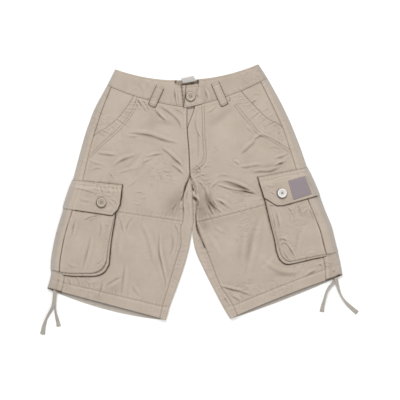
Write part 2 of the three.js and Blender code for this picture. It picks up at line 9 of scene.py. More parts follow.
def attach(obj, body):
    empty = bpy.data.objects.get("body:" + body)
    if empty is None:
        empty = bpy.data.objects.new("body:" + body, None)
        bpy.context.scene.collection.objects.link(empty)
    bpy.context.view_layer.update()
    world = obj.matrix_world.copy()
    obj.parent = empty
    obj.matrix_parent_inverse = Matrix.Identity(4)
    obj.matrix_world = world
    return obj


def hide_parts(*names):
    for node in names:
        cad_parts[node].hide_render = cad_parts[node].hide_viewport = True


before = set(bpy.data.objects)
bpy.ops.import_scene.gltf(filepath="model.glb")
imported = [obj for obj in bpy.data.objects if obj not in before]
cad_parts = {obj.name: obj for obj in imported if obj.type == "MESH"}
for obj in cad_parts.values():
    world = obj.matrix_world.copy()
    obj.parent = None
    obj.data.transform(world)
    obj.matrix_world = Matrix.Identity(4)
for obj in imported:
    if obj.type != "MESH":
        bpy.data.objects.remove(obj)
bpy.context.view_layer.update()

# Sizes of the garment are millimetres until a mesh is made; view, light and paper are in metres.
# x runs to the right in the picture, y towards the waist and z up. Left and right are as seen from
# above, front side up.

# ---- View and light ----
# The shorts lie flat on a pale sheet of studio paper and are seen from straight above, waist away
# from the viewer. One picture pixel is 2.4 mm of the sheet. A wide soft light stands beyond the
# waist, a weaker one at the lower right, and the white room fills in the rest.
VIEW_WIDE, VIEW_HIGH, VIEW_MIDDLE = 0.96, 2.6, (0.0126, -0.0192)


def add_object(name, data):
    """A new object of the scene with its data."""
    item = bpy.data.objects.new(name, data)
    bpy.context.collection.objects.link(item)
    return item


lens = bpy.data.cameras.new("overhead_camera")
lens.sensor_width = 36
lens.lens = lens.sensor_width * VIEW_HIGH / VIEW_WIDE
camera = add_object("overhead_camera", lens)
camera.location = (*VIEW_MIDDLE, VIEW_HIGH)
bpy.context.scene.camera = camera
bpy.context.scene.view_settings.view_transform = "Standard"

room = bpy.data.worlds.new("white_room")
room.use_nodes = True
room.node_tree.nodes["Background"].inputs["Color"].default_value = (1.0, 0.995, 0.985, 1)
room.node_tree.nodes["Background"].inputs["Strength"].default_value = 0.76
bpy.context.scene.world = room
for name, place, size, power in [
    ("window_light", (-0.7, 2.6, 2.0), 1.3, 68.0),
    ("side_light", (1.4, -1.2, 1.8), 1.6, 12.0),
]:
    light = bpy.data.lights.new(name, "AREA")
    light.size = size
    light.energy = power
    lamp = add_object(name, light)
    lamp.location = place
    lamp.rotation_euler = (-Vector(place)).to_track_quat("-Z", "Y").to_euler()


def linear(code):
    """An sRGB hex colour as Blender's linear colour."""
    parts = [int(code[index : index + 2], 16) / 255 for index in (1, 3, 5)]
    return [p / 12.92 if p <= 0.04045 else ((p + 0.055) / 1.055) ** 2.4 for p in parts] + [1.0]


def add_node(tree, kind, inputs=None, **settings):
    """Adds a node with its settings, and links or sets its inputs."""
    node = tree.nodes.new(kind)
    for name, value in settings.items():
        setattr(node, name, value)
    for socket, value in (inputs or {}).items():
        if isinstance(value, bpy.types.NodeSocket):
            tree.links.new(value, node.inputs[socket])
        else:
            node.inputs[socket].default_value = value
    return node


def new_material(name, roughness, **constants):
    """A material with its tree and its shader, whose constants are set on the shader itself."""
    material = bpy.data.materials.new(name)
    material.use_nodes = True
    shader = material.node_tree.nodes["Principled BSDF"]
    shader.inputs["Roughness"].default_value = roughness
    for socket, value in constants.items():
        shader.inputs[socket.replace("_", " ")].default_value = value
    return material, material.node_tree, shader


def object_places(tree):
    return add_node(tree, "ShaderNodeTexCoord").outputs["Object"]


def weave_places(tree):
    return add_node(tree, "ShaderNodeUVMap", uv_map="weave").outputs["UV"]


def texture(tree, kind, vector, scale, bands=None, **inputs):
    """The value of a noise or wave texture, whose other inputs are given by name."""
    inputs = {name.replace("_", " "): value for name, value in inputs.items()}
    inputs.update(Vector=vector, Scale=scale)
    settings = {"bands_direction": bands} if bands else {}
    return add_node(tree, f"ShaderNodeTex{kind}", inputs, **settings).outputs["Fac"]


def blend(tree, share, low, high):
    """A colour mixed from two, each a hex colour or a socket."""
    low, high = (linear(colour) if isinstance(colour, str) else colour for colour in (low, high))
    return add_node(tree, "ShaderNodeMix", {0: share, 6: low, 7: high}, data_type="RGBA").outputs[2]


def finish_material(tree, shader, colour, normal=None):
    tree.links.new(colour, shader.inputs["Base Color"])
    if normal is not None:
        tree.links.new(normal, shader.inputs["Normal"])


# Studio paper: matt and even, with a faint pulp mottle.
paper, tree, shader = new_material("studio_paper", 0.95)
pulp = texture(tree, "Noise", object_places(tree), 3.0)
finish_material(tree, shader, blend(tree, pulp, "#fbfbfa", "#fefefd"))
SHEET_HALF, SHEET_LOW = 4, -0.0003
sheet = bpy.data.meshes.new("paper_sheet")
sheet.from_pydata([(x * SHEET_HALF, y * SHEET_HALF, SHEET_LOW)
                   for x, y in ((-1, -1), (1, -1), (1, 1), (-1, 1))], [], [(0, 1, 2, 3)])
sheet.materials.append(paper)
floor = add_object("paper_sheet", sheet)


# ---- Drawstrings ----
# Flat woven cotton tape, 8 mm wide, comes out of a gap in each hem's channel as two ends. It lies
# on the paper with a few half turns, and the cut ends have spread a little.
def hermite(knots, values, at):
    """A smooth curve through the values, read at any places."""
    knots, values = np.asarray(knots, float), np.asarray(values, float)
    slope = np.empty_like(values)
    slope[1:-1] = (values[2:] - values[:-2]) / (knots[2:] - knots[:-2])
    slope[0] = (values[1] - values[0]) / (knots[1] - knots[0])
    slope[-1] = (values[-1] - values[-2]) / (knots[-1] - knots[-2])
    below = np.clip(np.searchsorted(knots, at), 1, len(knots) - 1)
    above = below - 1
    reach = knots[below] - knots[above]
    share = (at - knots[above]) / reach
    square, cube = share**2, share**3
    return (values[above] * (2 * cube - 3 * square + 1) + values[below] * (3 * square - 2 * cube)
            + slope[above] * reach * (cube - 2 * square + share)
            + slope[below] * reach * (cube - square))


def run_of(line):
    """How far along a line each of its points lies."""
    return np.concatenate([[0], np.cumsum(np.linalg.norm(np.diff(line, axis=0), axis=1))])


def unit(vectors):
    return vectors / np.linalg.norm(vectors, axis=1)[:, None]


def joined(*parts):
    """Arrays of coordinates as one array of points."""
    return np.stack(np.broadcast_arrays(*parts), axis=-1)


def tube_faces(bands, count, first=0):
    """Faces round a tube of rows of points, count to a row."""
    return [(first + row * count + k, first + row * count + (k + 1) % count,
             first + (row + 1) * count + (k + 1) % count, first + (row + 1) * count + k)
            for row in range(bands) for k in range(count)]


def closed_tube(bands, count, first=0):
    far = first + bands * count
    return tube_faces(bands, count, first) + [tuple(first + k for k in range(count))[::-1],
                                              tuple(far + k for k in range(count))]


def bump(tree, height, distance, strength, under=None, **settings):
    """A bumped normal, laid over another one where that is given."""
    inputs = {"Height": height, "Distance": distance, "Strength": strength}
    if under is not None:
        inputs["Normal"] = under
    return add_node(tree, "ShaderNodeBump", inputs, **settings).outputs["Normal"]


def set_values(mesh, name, values):
    layer = mesh.attributes.new(name, "FLOAT", "POINT")
    layer.data.foreach_set("value", values.astype(np.float32))


def finish_mesh(name, points, faces, weave, tones, material):
    """Makes a piece of cloth: points in mm, its place on the weave in mm, and a tone for each
    point, below 0 for painted shade and above 0 where the cloth is paler, from wear and from
    painted light."""
    mesh = bpy.data.meshes.new(name)
    mesh.from_pydata((points / 1000).tolist(), [], faces)
    corners = np.empty(len(mesh.loops), np.int32)
    mesh.loops.foreach_get("vertex_index", corners)
    layer = mesh.uv_layers.new(name="weave")
    layer.data.foreach_set("uv", (weave / 1000)[corners].astype(np.float32).ravel())
    set_values(mesh, "tone", np.clip(tones, -1, 1))
    mesh.polygons.foreach_set("use_smooth", np.ones(len(mesh.polygons), bool))
    mesh.materials.append(material)
    mesh.update()
    piece = add_object(name, mesh)
    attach(piece, "root")
    return piece


# Woven cotton tape: a fine herringbone shows as slanting ribs, soft and matt, a little greyer
# than the cloth. The ribs are 1.2 mm apart, twice the real ones, so that they show.
tape_cotton, tree, shader = new_material("woven_cotton_tape", 0.95, Sheen_Weight=0.2)
flat = weave_places(tree)
ribs = texture(tree, "Wave", flat, 130.0, "DIAGONAL", Distortion=1.5, Detail=2.0)
fuzz = texture(tree, "Noise", flat, 260.0, Detail=3.0)
finish_material(tree, shader, blend(tree, fuzz, "#8f887e", "#b2ada7"), bump(tree, ribs, 0.0003, 0.7))

TAPE_WIDE, TAPE_THICK, TAPE_ROWS, TAPE_AROUND = 8.0, 1.2, 90, 16
# Each end's middle line, then its twist in degrees and its width at shares of its length.
TAPES = {
    "drawstring_left_inner": (
        [(-333.4, -234, 2.4), (-333.8, -238, 2.4), (-334.2, -242, 2.4), (-334.6, -248, 2.2),
         (-335, -254, 1.4), (-335.4, -260, 0.8), (-335.6, -267, 0.7), (-335.5, -274, 0.7),
         (-334.8, -281, 0.7), (-333.8, -288, 0.7), (-332.4, -295, 0.7), (-330.8, -302, 0.7),
         (-329, -309, 0.7), (-327.5, -316, 0.7), (-326.4, -322, 0.7)],
        [(0, 10, 8), (0.3, 25, 7.5), (0.55, 48, 7), (0.75, 20, 8), (0.9, 0, 9), (1, 0, 10.5)]),
    "drawstring_left_outer": (
        [(-334.2, -234, 4), (-334.6, -238, 4), (-335.2, -242, 4), (-336, -248, 3.9),
         (-336.6, -254, 3.4), (-337.4, -260, 2.7), (-338.4, -267, 2.4), (-340, -274, 2.3),
         (-343, -281, 2), (-347, -288, 1.2), (-351, -295, 0.8), (-355, -303, 0.7),
         (-358.6, -312, 0.7), (-361.6, -322, 0.7), (-363.6, -332, 0.7), (-365, -341, 0.7)],
        [(0, -8, 8), (0.3, -14, 8), (0.5, -30, 7.5), (0.66, -44, 7), (0.82, -8, 8.5), (1, 0, 12)]),
    "drawstring_right_inner": (
        [(337.5, -202, 2.3), (337, -207, 2.3), (335.5, -212.5, 2.2), (332.5, -218, 1.4),
         (328.5, -223, 0.8), (324, -228, 0.7), (319.5, -234, 0.7), (316, -240.5, 0.7),
         (313.5, -248, 0.7), (311.5, -256, 0.7), (309.5, -264, 0.7), (307.5, -272, 0.7),
         (306, -280, 0.7), (305, -287, 0.7)],
        [(0, 0, 8), (0.3, 12, 7.5), (0.5, 42, 6.5), (0.7, 30, 7), (0.85, 5, 8.5), (1, 0, 11)]),
    "drawstring_right_outer": (
        [(338.5, -202, 3.9), (339, -207, 3.9), (339.8, -213, 3.7), (341, -219, 2.6),
         (343, -226, 1.4), (345, -233, 0.8), (347.5, -240, 0.7), (350.5, -247, 0.7),
         (354.5, -254, 0.7), (359.5, -261, 0.7), (365, -267.5, 0.7), (371, -273.5, 0.7),
         (377.5, -279.5, 0.7), (384, -285, 0.7), (389.5, -289.5, 0.7)],
        [(0, 0, 8), (0.25, -18, 8), (0.45, -46, 6.5), (0.62, -30, 7), (0.8, 0, 9), (1, 0, 11)]),
}
turn = np.linspace(0, 2 * np.pi, TAPE_AROUND, endpoint=False)
round_x = np.sign(np.cos(turn)) * np.abs(np.cos(turn)) ** 0.45
round_y = np.sign(np.sin(turn)) * np.abs(np.sin(turn)) ** 0.8
# The tape cups a little across its width, and its cut end is ragged by a millimetre.
cup = 0.25 * (round_x**2 - 0.5)
rag = np.where(np.arange(TAPE_ROWS)[:, None] == TAPE_ROWS - 1, 0.9 * np.sin(5 * turn)[None, :], 0)
for name, (route, turns) in TAPES.items():
    route, turns = np.array(route, float), np.array(turns, float)
    run = run_of(route)
    at = np.linspace(0, run[-1], TAPE_ROWS)
    middle = np.stack([hermite(run, route[:, axis], at) for axis in range(3)], axis=1)
    along = unit(np.gradient(middle, axis=0))
    twist = np.radians(np.interp(at / run[-1], turns[:, 0], turns[:, 1]))
    wide = hermite(turns[:, 0] * run[-1], turns[:, 2], at)
    aside = unit(np.cross([0, 0, 1], along))
    above = np.cross(along, aside)
    across = aside * np.cos(twist)[:, None] + above * np.sin(twist)[:, None]
    through = above * np.cos(twist)[:, None] - aside * np.sin(twist)[:, None]
    middle[:, 2] += np.abs(np.sin(twist)) * wide / 2
    ring = (middle[:, None] + across[:, None] * round_x[None, :, None] * wide[:, None, None] / 2
            + through[:, None] * (round_y * TAPE_THICK / 2 + cup)[None, :, None]
            + along[:, None] * rag[:, :, None])
    ring[:, :, 2] = np.maximum(ring[:, :, 2], 0.02)
    weave = joined(round_x * TAPE_WIDE / 2 + np.sign(round_y) * 0.2, at[:, None])
    tape = finish_mesh(f"{name}_tape", ring.reshape(-1, 3), closed_tube(TAPE_ROWS - 1, TAPE_AROUND),
                       weave.reshape(-1, 2), np.zeros(rag.size), tape_cotton)
    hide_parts(name)


# ---- Back panels ----
# Each leg's back is one piece of washed cotton twill that comes round both edges of the leg to
# the side seam and the inseam, so it is folded at both sides. It lies flat on the paper.
SIDES = ("left", "right")
# The cloth's thickness, the gap at a seam and the gap between layers.
CLOTH, SEAM, SEAT = 1.2, 0.3, 0.5
LAYER = CLOTH + SEAT
# How high the fronts lie, and how far in a leg's edge is rounded.
BODY, EDGE = 4.5, 2.4
# Places down the leg from the waist seam, and the hem's turning.
WAIST_TOP, SLANT_END, CROTCH = -44, 118, 180
HEM_TURN, HEM_RISE = 26, 0.8
# How far the pockets reach in under a leg, and where the lift at its outer edge fades.
REAR_REACH, LIFT_KEEP, LIFT_FADE = 48, 55, 35
KNEE = {"left": 288, "right": 288}
HEM = {"left": 518, "right": 520}
# The spacing of the mesh.
STEP = 2.1

# Each leg is a row of level sections from its outer edge to its inner edge, as in the solids.
LEG_COLUMNS = ["along", "outer_x", "outer_y", "inner_x", "inner_y", "sag", "back_sag",
               "side", "front", "inset", "lift"]
LEGS = {
    "left": [
        (-44, -191, 294, -17, 268, 9, 9, 8, 69, 0, 0),
        (0, -210, 256, -18, 203, 8, 8, 10, 69, 0, 0),
        (56, -240, 200, -18, 151, 4, 4, 18, 64, 0, 0),
        (90, -253, 166, -16, 124, 1, 1, 20, 47, 0, 0),
        (118, -264, 134, -14, 100, 0, 0, 21, 21, 0, 0),
        (180, -282, 67, -11, 40, 0, 0, 22, 22, 0, 0.5),
        (222, -292, 29, -6, 0, 0, 0, 24, 24, 20, 3.4),
        (288, -311, -29, -3.5, -74, 0, 0, 24, 24, 25, 3.4),
        (303, -314, -43, -6.5, -88, 0, 0, 24, 24, 27, 3.4),
        (346, -325, -78, -13, -132, 0, 0, 24, 24, 21, 1.7),
        (387, -334, -112, -24, -174, 0, 0, 26, 26, 23, 1.7),
        (442, -343, -163, -44, -233, 0, 2, 29, 29, 20, 1.7),
        (481, -345, -200, -57, -267, 0, 6, 33, 33, 18, 1.7),
        (518, -353.5, -231, -69, -307, 0, 12, 35, 35, 15, 0),
    ],
    "right": [
        (-44, 153, 306, -17, 268, 8, 8, 16, 70, 18, 0),
        (0, 174, 273, -18, 203, 8, 8, 18, 70, 18, 0),
        (56, 202, 223, -18, 151, 5, 5, 21, 58, 0, 0),
        (90, 219, 189, -16, 124, 2, 2, 22, 46, 0, 0),
        (118, 232, 160, -14, 100, 0, 0, 22, 22, 0, 0),
        (180, 255, 101, -11, 40, 0, 0, 25, 25, 0, 0.5),
        (222, 270, 56, -6, 0, 0, 0, 26, 26, 8, 3.4),
        (288, 291.5, 6, -3.5, -74, 3, 3, 27, 27, 7, 3.4),
        (303, 296.5, -7, -6.5, -88, 3, 3, 27, 27, 15, 3.4),
        (346, 312.5, -48, 1, -138, 1, 1, 28, 28, 25, 1.7),
        (390, 327, -84, 20, -182, 0, 0, 30, 30, 23, 1.7),
        (440, 337, -125, 44, -230, -2, -2, 34, 34, 18, 1.7),
        (484, 347.5, -163, 66.5, -273, -3, 1, 38, 38, 23, 1.7),
        (520, 354, -199, 85, -304, -4, 4, 42, 42, 19, 0),
    ],
}


def smooth(value):
    value = np.clip(value, 0, 1)
    return value * value * (3 - 2 * value)


def level(side, column, along):
    """One column of a leg's table at any places along the leg."""
    table = np.array(LEGS[side], float)
    values = table[:, LEG_COLUMNS.index(column)]
    if column in ("outer_x", "outer_y", "inner_x", "inner_y"):
        return hermite(table[:, 0], values, along)
    if column == "inset":
        return np.maximum(hermite(table[:, 0], values, along), 0)
    if column == "front":
        beyond = values - table[:, LEG_COLUMNS.index("side")]
        return level(side, "side", along) + np.maximum(hermite(table[:, 0], beyond, along), 0)
    return np.interp(along, table[:, 0], values)


def width_at(side, along):
    return np.hypot(level(side, "inner_x", along) - level(side, "outer_x", along),
                    level(side, "inner_y", along) - level(side, "outer_y", along))


def section(side, along):
    """A level section of a leg: its outer end, its direction, the side it bows to and its width."""
    outer_x, outer_y = level(side, "outer_x", along), level(side, "outer_y", along)
    width = width_at(side, along)
    across_x = (level(side, "inner_x", along) - outer_x) / width
    across_y = (level(side, "inner_y", along) - outer_y) / width
    return outer_x, outer_y, across_x, across_y, np.where(across_x > 0, 1, -1), width


def plan(side, along, place, sag="sag"):
    """Where a place on a leg lies, seen from above."""
    outer_x, outer_y, across_x, across_y, turn, width = section(side, along)
    share = place / width
    bow = level(side, sag, along) * 4 * share * (1 - share)
    return (outer_x + across_x * place + across_y * turn * bow,
            outer_y + across_y * place - across_x * turn * bow)


# Creases of the legs, listed as lines of picture pixels. The cloth stands up on a line's
# left as it runs from its first place to its last. wide is how far off the crest lies and rise its
# height in mm, and dark is how deep the painted shade in the fold's line is.
CREASES = [
    ([(159, 106), (167.5, 111.5), (173, 116), (178, 121), (180.5, 126), (180.6, 130.5)], 6, 1.5, 0.5),
    ([(153.5, 108.5), (157.5, 113), (161.5, 117.6), (166.5, 121.8)], 6, 1.4, 0.45),
    ([(174.3, 109.5), (179.8, 111.5), (183.9, 115.9)], 4, 0.7, 0.25),
    ([(158, 114), (162, 117.5), (166, 120)], 4, 0.8, 0.3),
    ([(127, 133.2), (137.4, 133.8), (150, 135.6), (158.5, 138.6), (166.4, 141), (178, 143.8)], 7, 1.7, 0.6),
    ([(127, 136.6), (133, 137), (139.5, 137.2)], 4, 0.6, 0.25),
    ([(161.3, 147.8), (167.7, 152.9), (175.3, 159.9), (182.3, 166.3)], 6, 1.6, 0.55),
    ([(171, 164.5), (178.1, 169.6), (184.4, 175.3)], 5, 1.4, 0.5),
    ([(175.5, 160), (179, 162.6), (182, 165.8)], 4, 0.8, 0.3),
    ([(113.4, 166.5), (121.9, 160.6), (130.5, 157.3), (136, 155)], 6, 1.5, 0.5),
    ([(96.5, 153), (102.2, 154.2), (109, 155), (117.5, 155.6)], 5, 1.2, 0.5),
    ([(146, 157.5), (151.4, 155.8), (157, 154.6), (164, 154)], 4, 1.1, 0.45),
    ([(141.5, 163.8), (146, 161.4), (151.3, 159.5)], 4, 0.8, 0.25),
    ([(162.8, 171.2), (167, 172), (171.5, 172.2)], 3, 0.6, 0.3),
    ([(136.5, 99), (141.5, 104.5), (147.2, 112.8)], 4, 0.9, 0.35),
    ([(142, 99.5), (146, 105), (149.5, 112)], 3.5, 0.7, 0.25),
    ([(149.5, 160), (141, 169), (133, 178.5)], 9, 0.9, 0.08),
    ([(144.5, 150), (137, 158), (128, 168.5)], 9, 0.9, 0.08),
    ([(109, 172.5), (112, 176), (114, 179.5)], 3, 0.6, 0.3),
    ([(134, 193.2), (140, 192.4), (144, 194.4)], 3.5, 0.6, 0.22),
    ([(139, 197.6), (144, 198.6), (149, 197)], 3, 0.5, 0.18),
    ([(133, 203.4), (138, 205), (143, 203)], 3, 0.5, 0.16),
    ([(88, 160), (95, 163.5), (103, 165)], 4, 0.7, 0.15),
    ([(90, 171), (97, 168.5), (104, 169.8)], 4, 0.7, 0.18),
    ([(240, 154.8), (244.2, 151.6), (249.3, 147.2), (256.3, 140.4)], 7, 1.7, 0.3),
    ([(251.8, 142.1), (256.3, 138.4), (260.5, 136), (265, 136.6), (270.5, 138.8)], 5, 1.3, 0.45),
    ([(244.5, 127), (249.3, 130.4), (253.8, 134)], 6, 1.0, 0.18),
    ([(233.3, 161.8), (236, 162.4), (239.3, 165.1)], 4, 0.9, 0.3),
    ([(239, 167.2), (246.1, 167.4), (253.8, 166), (261, 164.6)], 5, 1.2, 0.42),
    ([(252.5, 172.8), (259.5, 171.8), (268.8, 171.6), (277, 168.6), (281.5, 166)], 6, 1.7, 0.5),
    ([(273.5, 166.6), (279, 164), (285.6, 161.3)], 4, 1.2, 0.7),
    ([(273, 158.8), (280.5, 157.2), (288.6, 153.8)], 4.5, 1.1, 0.4),
    ([(268, 148), (275, 147.5), (283, 150)], 4, 0.6, 0.16),
    ([(219.5, 181.6), (226, 181.6), (236, 184.4), (246, 188.8), (255.5, 193.2)], 5.5, 1.6, 0.5),
    ([(242, 190.2), (249, 192.2), (256.4, 194.2)], 3, 0.5, 0.7),
    ([(216, 199), (219.6, 200.4), (224.6, 205.6), (229.6, 209.4)], 3, 0.6, 0.3),
    ([(209.5, 200.8), (214, 206.6), (219.5, 211.4)], 3, 0.6, 0.35),
    ([(212.6, 197.6), (214.4, 203.6), (218.8, 208.6)], 3, 0.6, 0.3),
    ([(208.6, 206.4), (211.6, 212), (215.2, 217)], 3, 0.6, 0.25),
    ([(117, 174), (126, 171.4), (138, 168)], 4, 0.6, 0.16),
    ([(125.4, 189), (132, 184.4), (139, 179.2)], 4, 0.6, 0.14),
    ([(118.4, 214.6), (121.5, 224), (123.6, 234)], 5, 0.7, 0.16),
    ([(133.6, 217.6), (128.6, 223.6), (126, 232)], 5, 0.8, 0.22),
    ([(136, 97.6), (139.4, 102.4), (142.6, 108.4)], 2.5, 0.6, 0.25),
    ([(133.6, 100.6), (137, 104.4), (139.4, 109.6)], 2.5, 0.5, 0.2),
    ([(214.5, 184.2), (222, 186.6), (231, 189.4), (243, 191.4), (255.5, 193.6)], 4, 1.4, 0.6),
    ([(210.5, 189.4), (214.5, 184.6), (220.5, 180.6)], 4, 0.9, 0.25),
    ([(229, 190.8), (237, 192.6), (246, 193.8)], 4, 0.8, 0.22),
    ([(215.2, 177.4), (222, 175.4), (230, 176.4)], 4, 0.7, 0.14),
    ([(205.5, 114), (212.9, 110.2), (217.3, 105.4)], 4, 0.7, 0.22),
    ([(215, 199.6), (223.3, 203.4), (231, 209)], 5, 1.2, 0.4),
    ([(216, 207.5), (219.5, 211), (221.8, 214.2)], 4, 0.7, 0.35),
    ([(206.5, 203), (210, 208.5), (213.8, 214.8)], 4, 0.8, 0.35),
    ([(203.5, 185), (205.5, 191), (207.2, 198.5)], 5, 0.9, 0.25),
    ([(194.2, 181), (196, 186), (197.4, 191)], 3, 0.7, 0.3),
    ([(190.8, 184), (192.8, 188), (195.2, 193)], 3, 0.7, 0.55),
    ([(200.6, 178), (205, 180.5), (209.5, 179.4)], 3.5, 0.6, 0.2),
    ([(205.5, 184.5), (209, 183.2), (212.5, 184.4)], 3, 0.5, 0.2),
    ([(198.6, 168.6), (201, 166), (204.4, 163.2)], 3, 0.6, 0.3),
    ([(193.5, 173.5), (198, 171.5), (201, 172.6)], 3, 0.6, 0.3),
    ([(194, 178.4), (198.6, 176.6), (203.4, 174.6)], 3, 0.6, 0.25),
    ([(159.9, 231), (159.1, 241), (159.2, 252), (161.4, 263), (165.4, 281), (165.6, 288.6)], 5, 1.4, 0.32),
    ([(140.4, 223), (145.5, 234), (150, 248.6), (153.2, 265)], 8, 1.2, 0.14),
    ([(124.8, 263), (124.4, 270), (123.2, 280), (121.6, 296)], 7, 1.1, 0.18),
    ([(122, 277), (116, 279.5), (106, 286)], 6, 1.2, 0.3),
    ([(103, 279.3), (101.4, 288), (97.5, 298)], 5, 1.0, 0.28),
    ([(131.5, 283), (134.5, 290), (140.5, 297)], 6, 0.8, 0.12),
    ([(119.5, 230), (117.8, 243), (116.6, 257)], 9, 0.8, 0.08),
    ([(171.5, 232), (173.2, 243), (170, 257)], 6, 0.8, 0.12),
    ([(173.8, 222.5), (177.8, 231), (179.6, 239)], 4, 0.8, 0.22),
    ([(258.8, 217), (254.5, 229), (251.2, 241), (248.4, 257), (244.6, 276)], 10, 1.5, 0.2),
    ([(243, 228), (240.5, 243), (239, 262)], 11, 1.1, 0.08),
    ([(266, 209), (268.3, 221), (270.6, 237)], 6, 0.7, 0.14),
    ([(261.6, 260.8), (268, 265.8), (275, 270.4), (284, 273.4), (293.9, 273.4), (302, 269.6)], 8, 1.4, 0.22),
    ([(217.5, 285.4), (231.8, 289.4), (242, 292.2), (252, 295.8)], 5, 1.7, 0.65),
    ([(229.5, 294.8), (235.5, 298), (241.5, 301.6)], 5, 1.1, 0.35),
    ([(221.5, 294), (225.5, 299), (229.6, 305)], 4, 0.8, 0.25),
    ([(304.8, 276.2), (310, 273.2), (317.5, 269.4)], 5, 1.4, 0.55),
    ([(316, 266.4), (319.8, 264.2), (323.2, 267.6)], 3.5, 0.8, 0.45),
    ([(323.2, 267.4), (326, 266.4), (329.4, 266.4)], 3, 0.5, 0.3),
    ([(330.4, 267.4), (333, 270.4), (336.4, 274)], 3.5, 0.9, 0.4),
    ([(334.2, 266.6), (337, 270), (338.6, 274)], 3.5, 0.7, 0.5),
    ([(272, 252), (266.5, 260), (259, 267.5)], 8, 0.7, 0.06),
    ([(213.5, 226), (219, 231.5), (227, 234)], 6, 0.6, 0.1),
    ([(206, 233), (212, 244), (220, 258)], 8, 0.7, 0.08),
    ([(190, 173.4), (186.8, 183.2), (184.2, 192.8), (181.8, 199.4), (181, 201)], 3.5, 0.6, 1.7),
    ([(181.4, 202.6), (183.2, 206.4), (184.4, 213), (184.2, 220)], 2.5, 0.4, 0.5),
    ([(192.3, 184.2), (193, 187.6), (193.9, 191.8)], 2.5, 0.5, 1.5),
    ([(190.8, 176.4), (193.6, 180.4), (194.8, 185.6)], 2.5, 0.4, 0.5),
    ([(188.2, 181), (187.6, 188), (187.8, 196)], 2.5, 0.4, 0.3),
    ([(199.4, 173.6), (202.6, 175.2), (207.4, 173.8)], 2.5, 0.5, 0.45),
    ([(195.6, 164.6), (199.8, 168.4), (200.2, 173)], 2.5, 0.5, 0.45),
    ([(192.6, 168.6), (196.4, 169.6), (199.6, 167.4)], 2.5, 0.5, 0.4),
    ([(203, 168.4), (206.8, 166.2), (211, 166.8)], 2.5, 0.5, 0.35),
    ([(197.6, 181.8), (201.4, 184), (203.6, 189.2)], 3, 0.6, 0.5),
    ([(176.2, 205.4), (173.4, 209.4), (172.4, 214)], 3, 0.6, 0.3),
    ([(169.8, 209.6), (173.6, 206.8), (176.8, 202.4)], 3, 0.6, 0.25),
    ([(249.5, 104.2), (253.2, 101.8), (258.4, 98.4)], 3, 0.7, 0.5),
    ([(250.5, 95.6), (256, 94.2), (261.5, 95.6)], 3, 0.5, 0.2),
    ([(261.4, 112), (266, 110), (270, 106.8)], 3, 0.6, 0.22),
    ([(266, 117.8), (270.4, 116.2), (274, 113.2)], 2.5, 0.5, 0.2),
    ([(270.6, 123.6), (273.8, 122), (276.8, 119.4)], 2.5, 0.5, 0.16),
    ([(66, 276.4), (70, 281), (71.6, 288)], 3, 0.6, 0.25),
    ([(74.6, 275.4), (78, 279.4), (80.2, 286)], 3, 0.6, 0.25),
    ([(60.4, 277), (58.6, 282.4), (58.8, 288)], 2.5, 0.5, 0.3),
    ([(84.5, 280.5), (88.5, 283), (90.5, 288.4)], 2.5, 0.5, 0.18),
    ([(326.6, 261.6), (330, 263.6), (333.4, 262.6)], 2.5, 0.6, 0.3),
    ([(227.8, 96.2), (230.8, 99.2), (227.6, 103)], 2.5, 0.6, 0.6),
    ([(193.4, 186.6), (196.2, 193.6), (198.2, 201.6), (197.6, 207.4), (195.6, 215.2)], 2.5, 0.4, 0.5),
    ([(195.8, 213), (196.1, 219.8), (197.2, 227.8), (201, 238), (205.4, 248.6)], 3, 0.6, 1.9),
    ([(186.2, 190.6), (186.8, 194.6), (186.4, 199.6)], 2.5, 0.4, 0.35),
    ([(188.4, 199.4), (188.8, 208), (190.4, 218)], 4, 0.5, 0.14),
    ([(180, 85.2), (184, 84.6), (188, 84), (193, 83), (200, 81.2)], 2, 0.1, 2.0),
    ([(175.8, 79), (176, 81.6), (176.2, 85.4)], 3, 0.2, 2.0),
    ([(197.9, 76.2), (198.1, 79.4), (198.4, 84)], 3, 0.2, 2.0),
    ([(195.6, 95.8), (197, 95.9), (199.4, 96.2)], 1.5, 0.2, 0.9),
    ([(174.6, 87.6), (175.4, 97.6), (177.4, 106.6)], 3.5, 0.8, 0.6),
    ([(177.4, 90.4), (178.2, 98), (179.8, 106.6)], 3, 0.7, 0.3),
    ([(203.8, 87.6), (206.4, 94.2), (208.8, 102.4)], 4, 0.8, 0.36),
    ([(197.2, 86.4), (197, 91.5), (197.8, 97.4)], 5, 0.7, 0.22),
    ([(198.5, 108.5), (196.1, 116.5), (195.7, 126), (198.2, 136), (198.4, 161)], 5, 0.9, 0.24),
    ([(197.4, 132.6), (199.6, 136), (202, 139.8)], 3, 0.5, 0.28),
]
# The hidden back carries shallow creases of the same kind, as troughs above the paper. They have
# no shade of their own.
BACK_CREASES = [
    ([(118, 118), (139, 124), (163, 121)], 8, 1.0), ([(150, 146), (166, 158), (181, 175)], 6, 1.0),
    ([(112, 163), (131, 156), (152, 160)], 7, 1.0), ([(122, 233), (131, 251), (129, 274)], 8, 0.9),
    ([(152, 226), (149, 248), (157, 271)], 6, 0.9), ([(100, 268), (118, 279), (139, 281)], 7, 0.9),
    ([(212, 116), (233, 126), (257, 119)], 8, 1.0), ([(205, 177), (222, 163), (243, 158)], 6, 1.0),
    ([(238, 150), (259, 153), (278, 145)], 6, 0.9), ([(231, 219), (238, 243), (233, 266)], 8, 0.9),
    ([(262, 221), (256, 244), (263, 268)], 7, 0.9), ([(240, 284), (262, 279), (281, 284)], 6, 0.9),
    ([(177, 96), (183, 109), (180, 123)], 5, 0.8), ([(196, 200), (212, 207), (231, 204)], 6, 0.9),
]
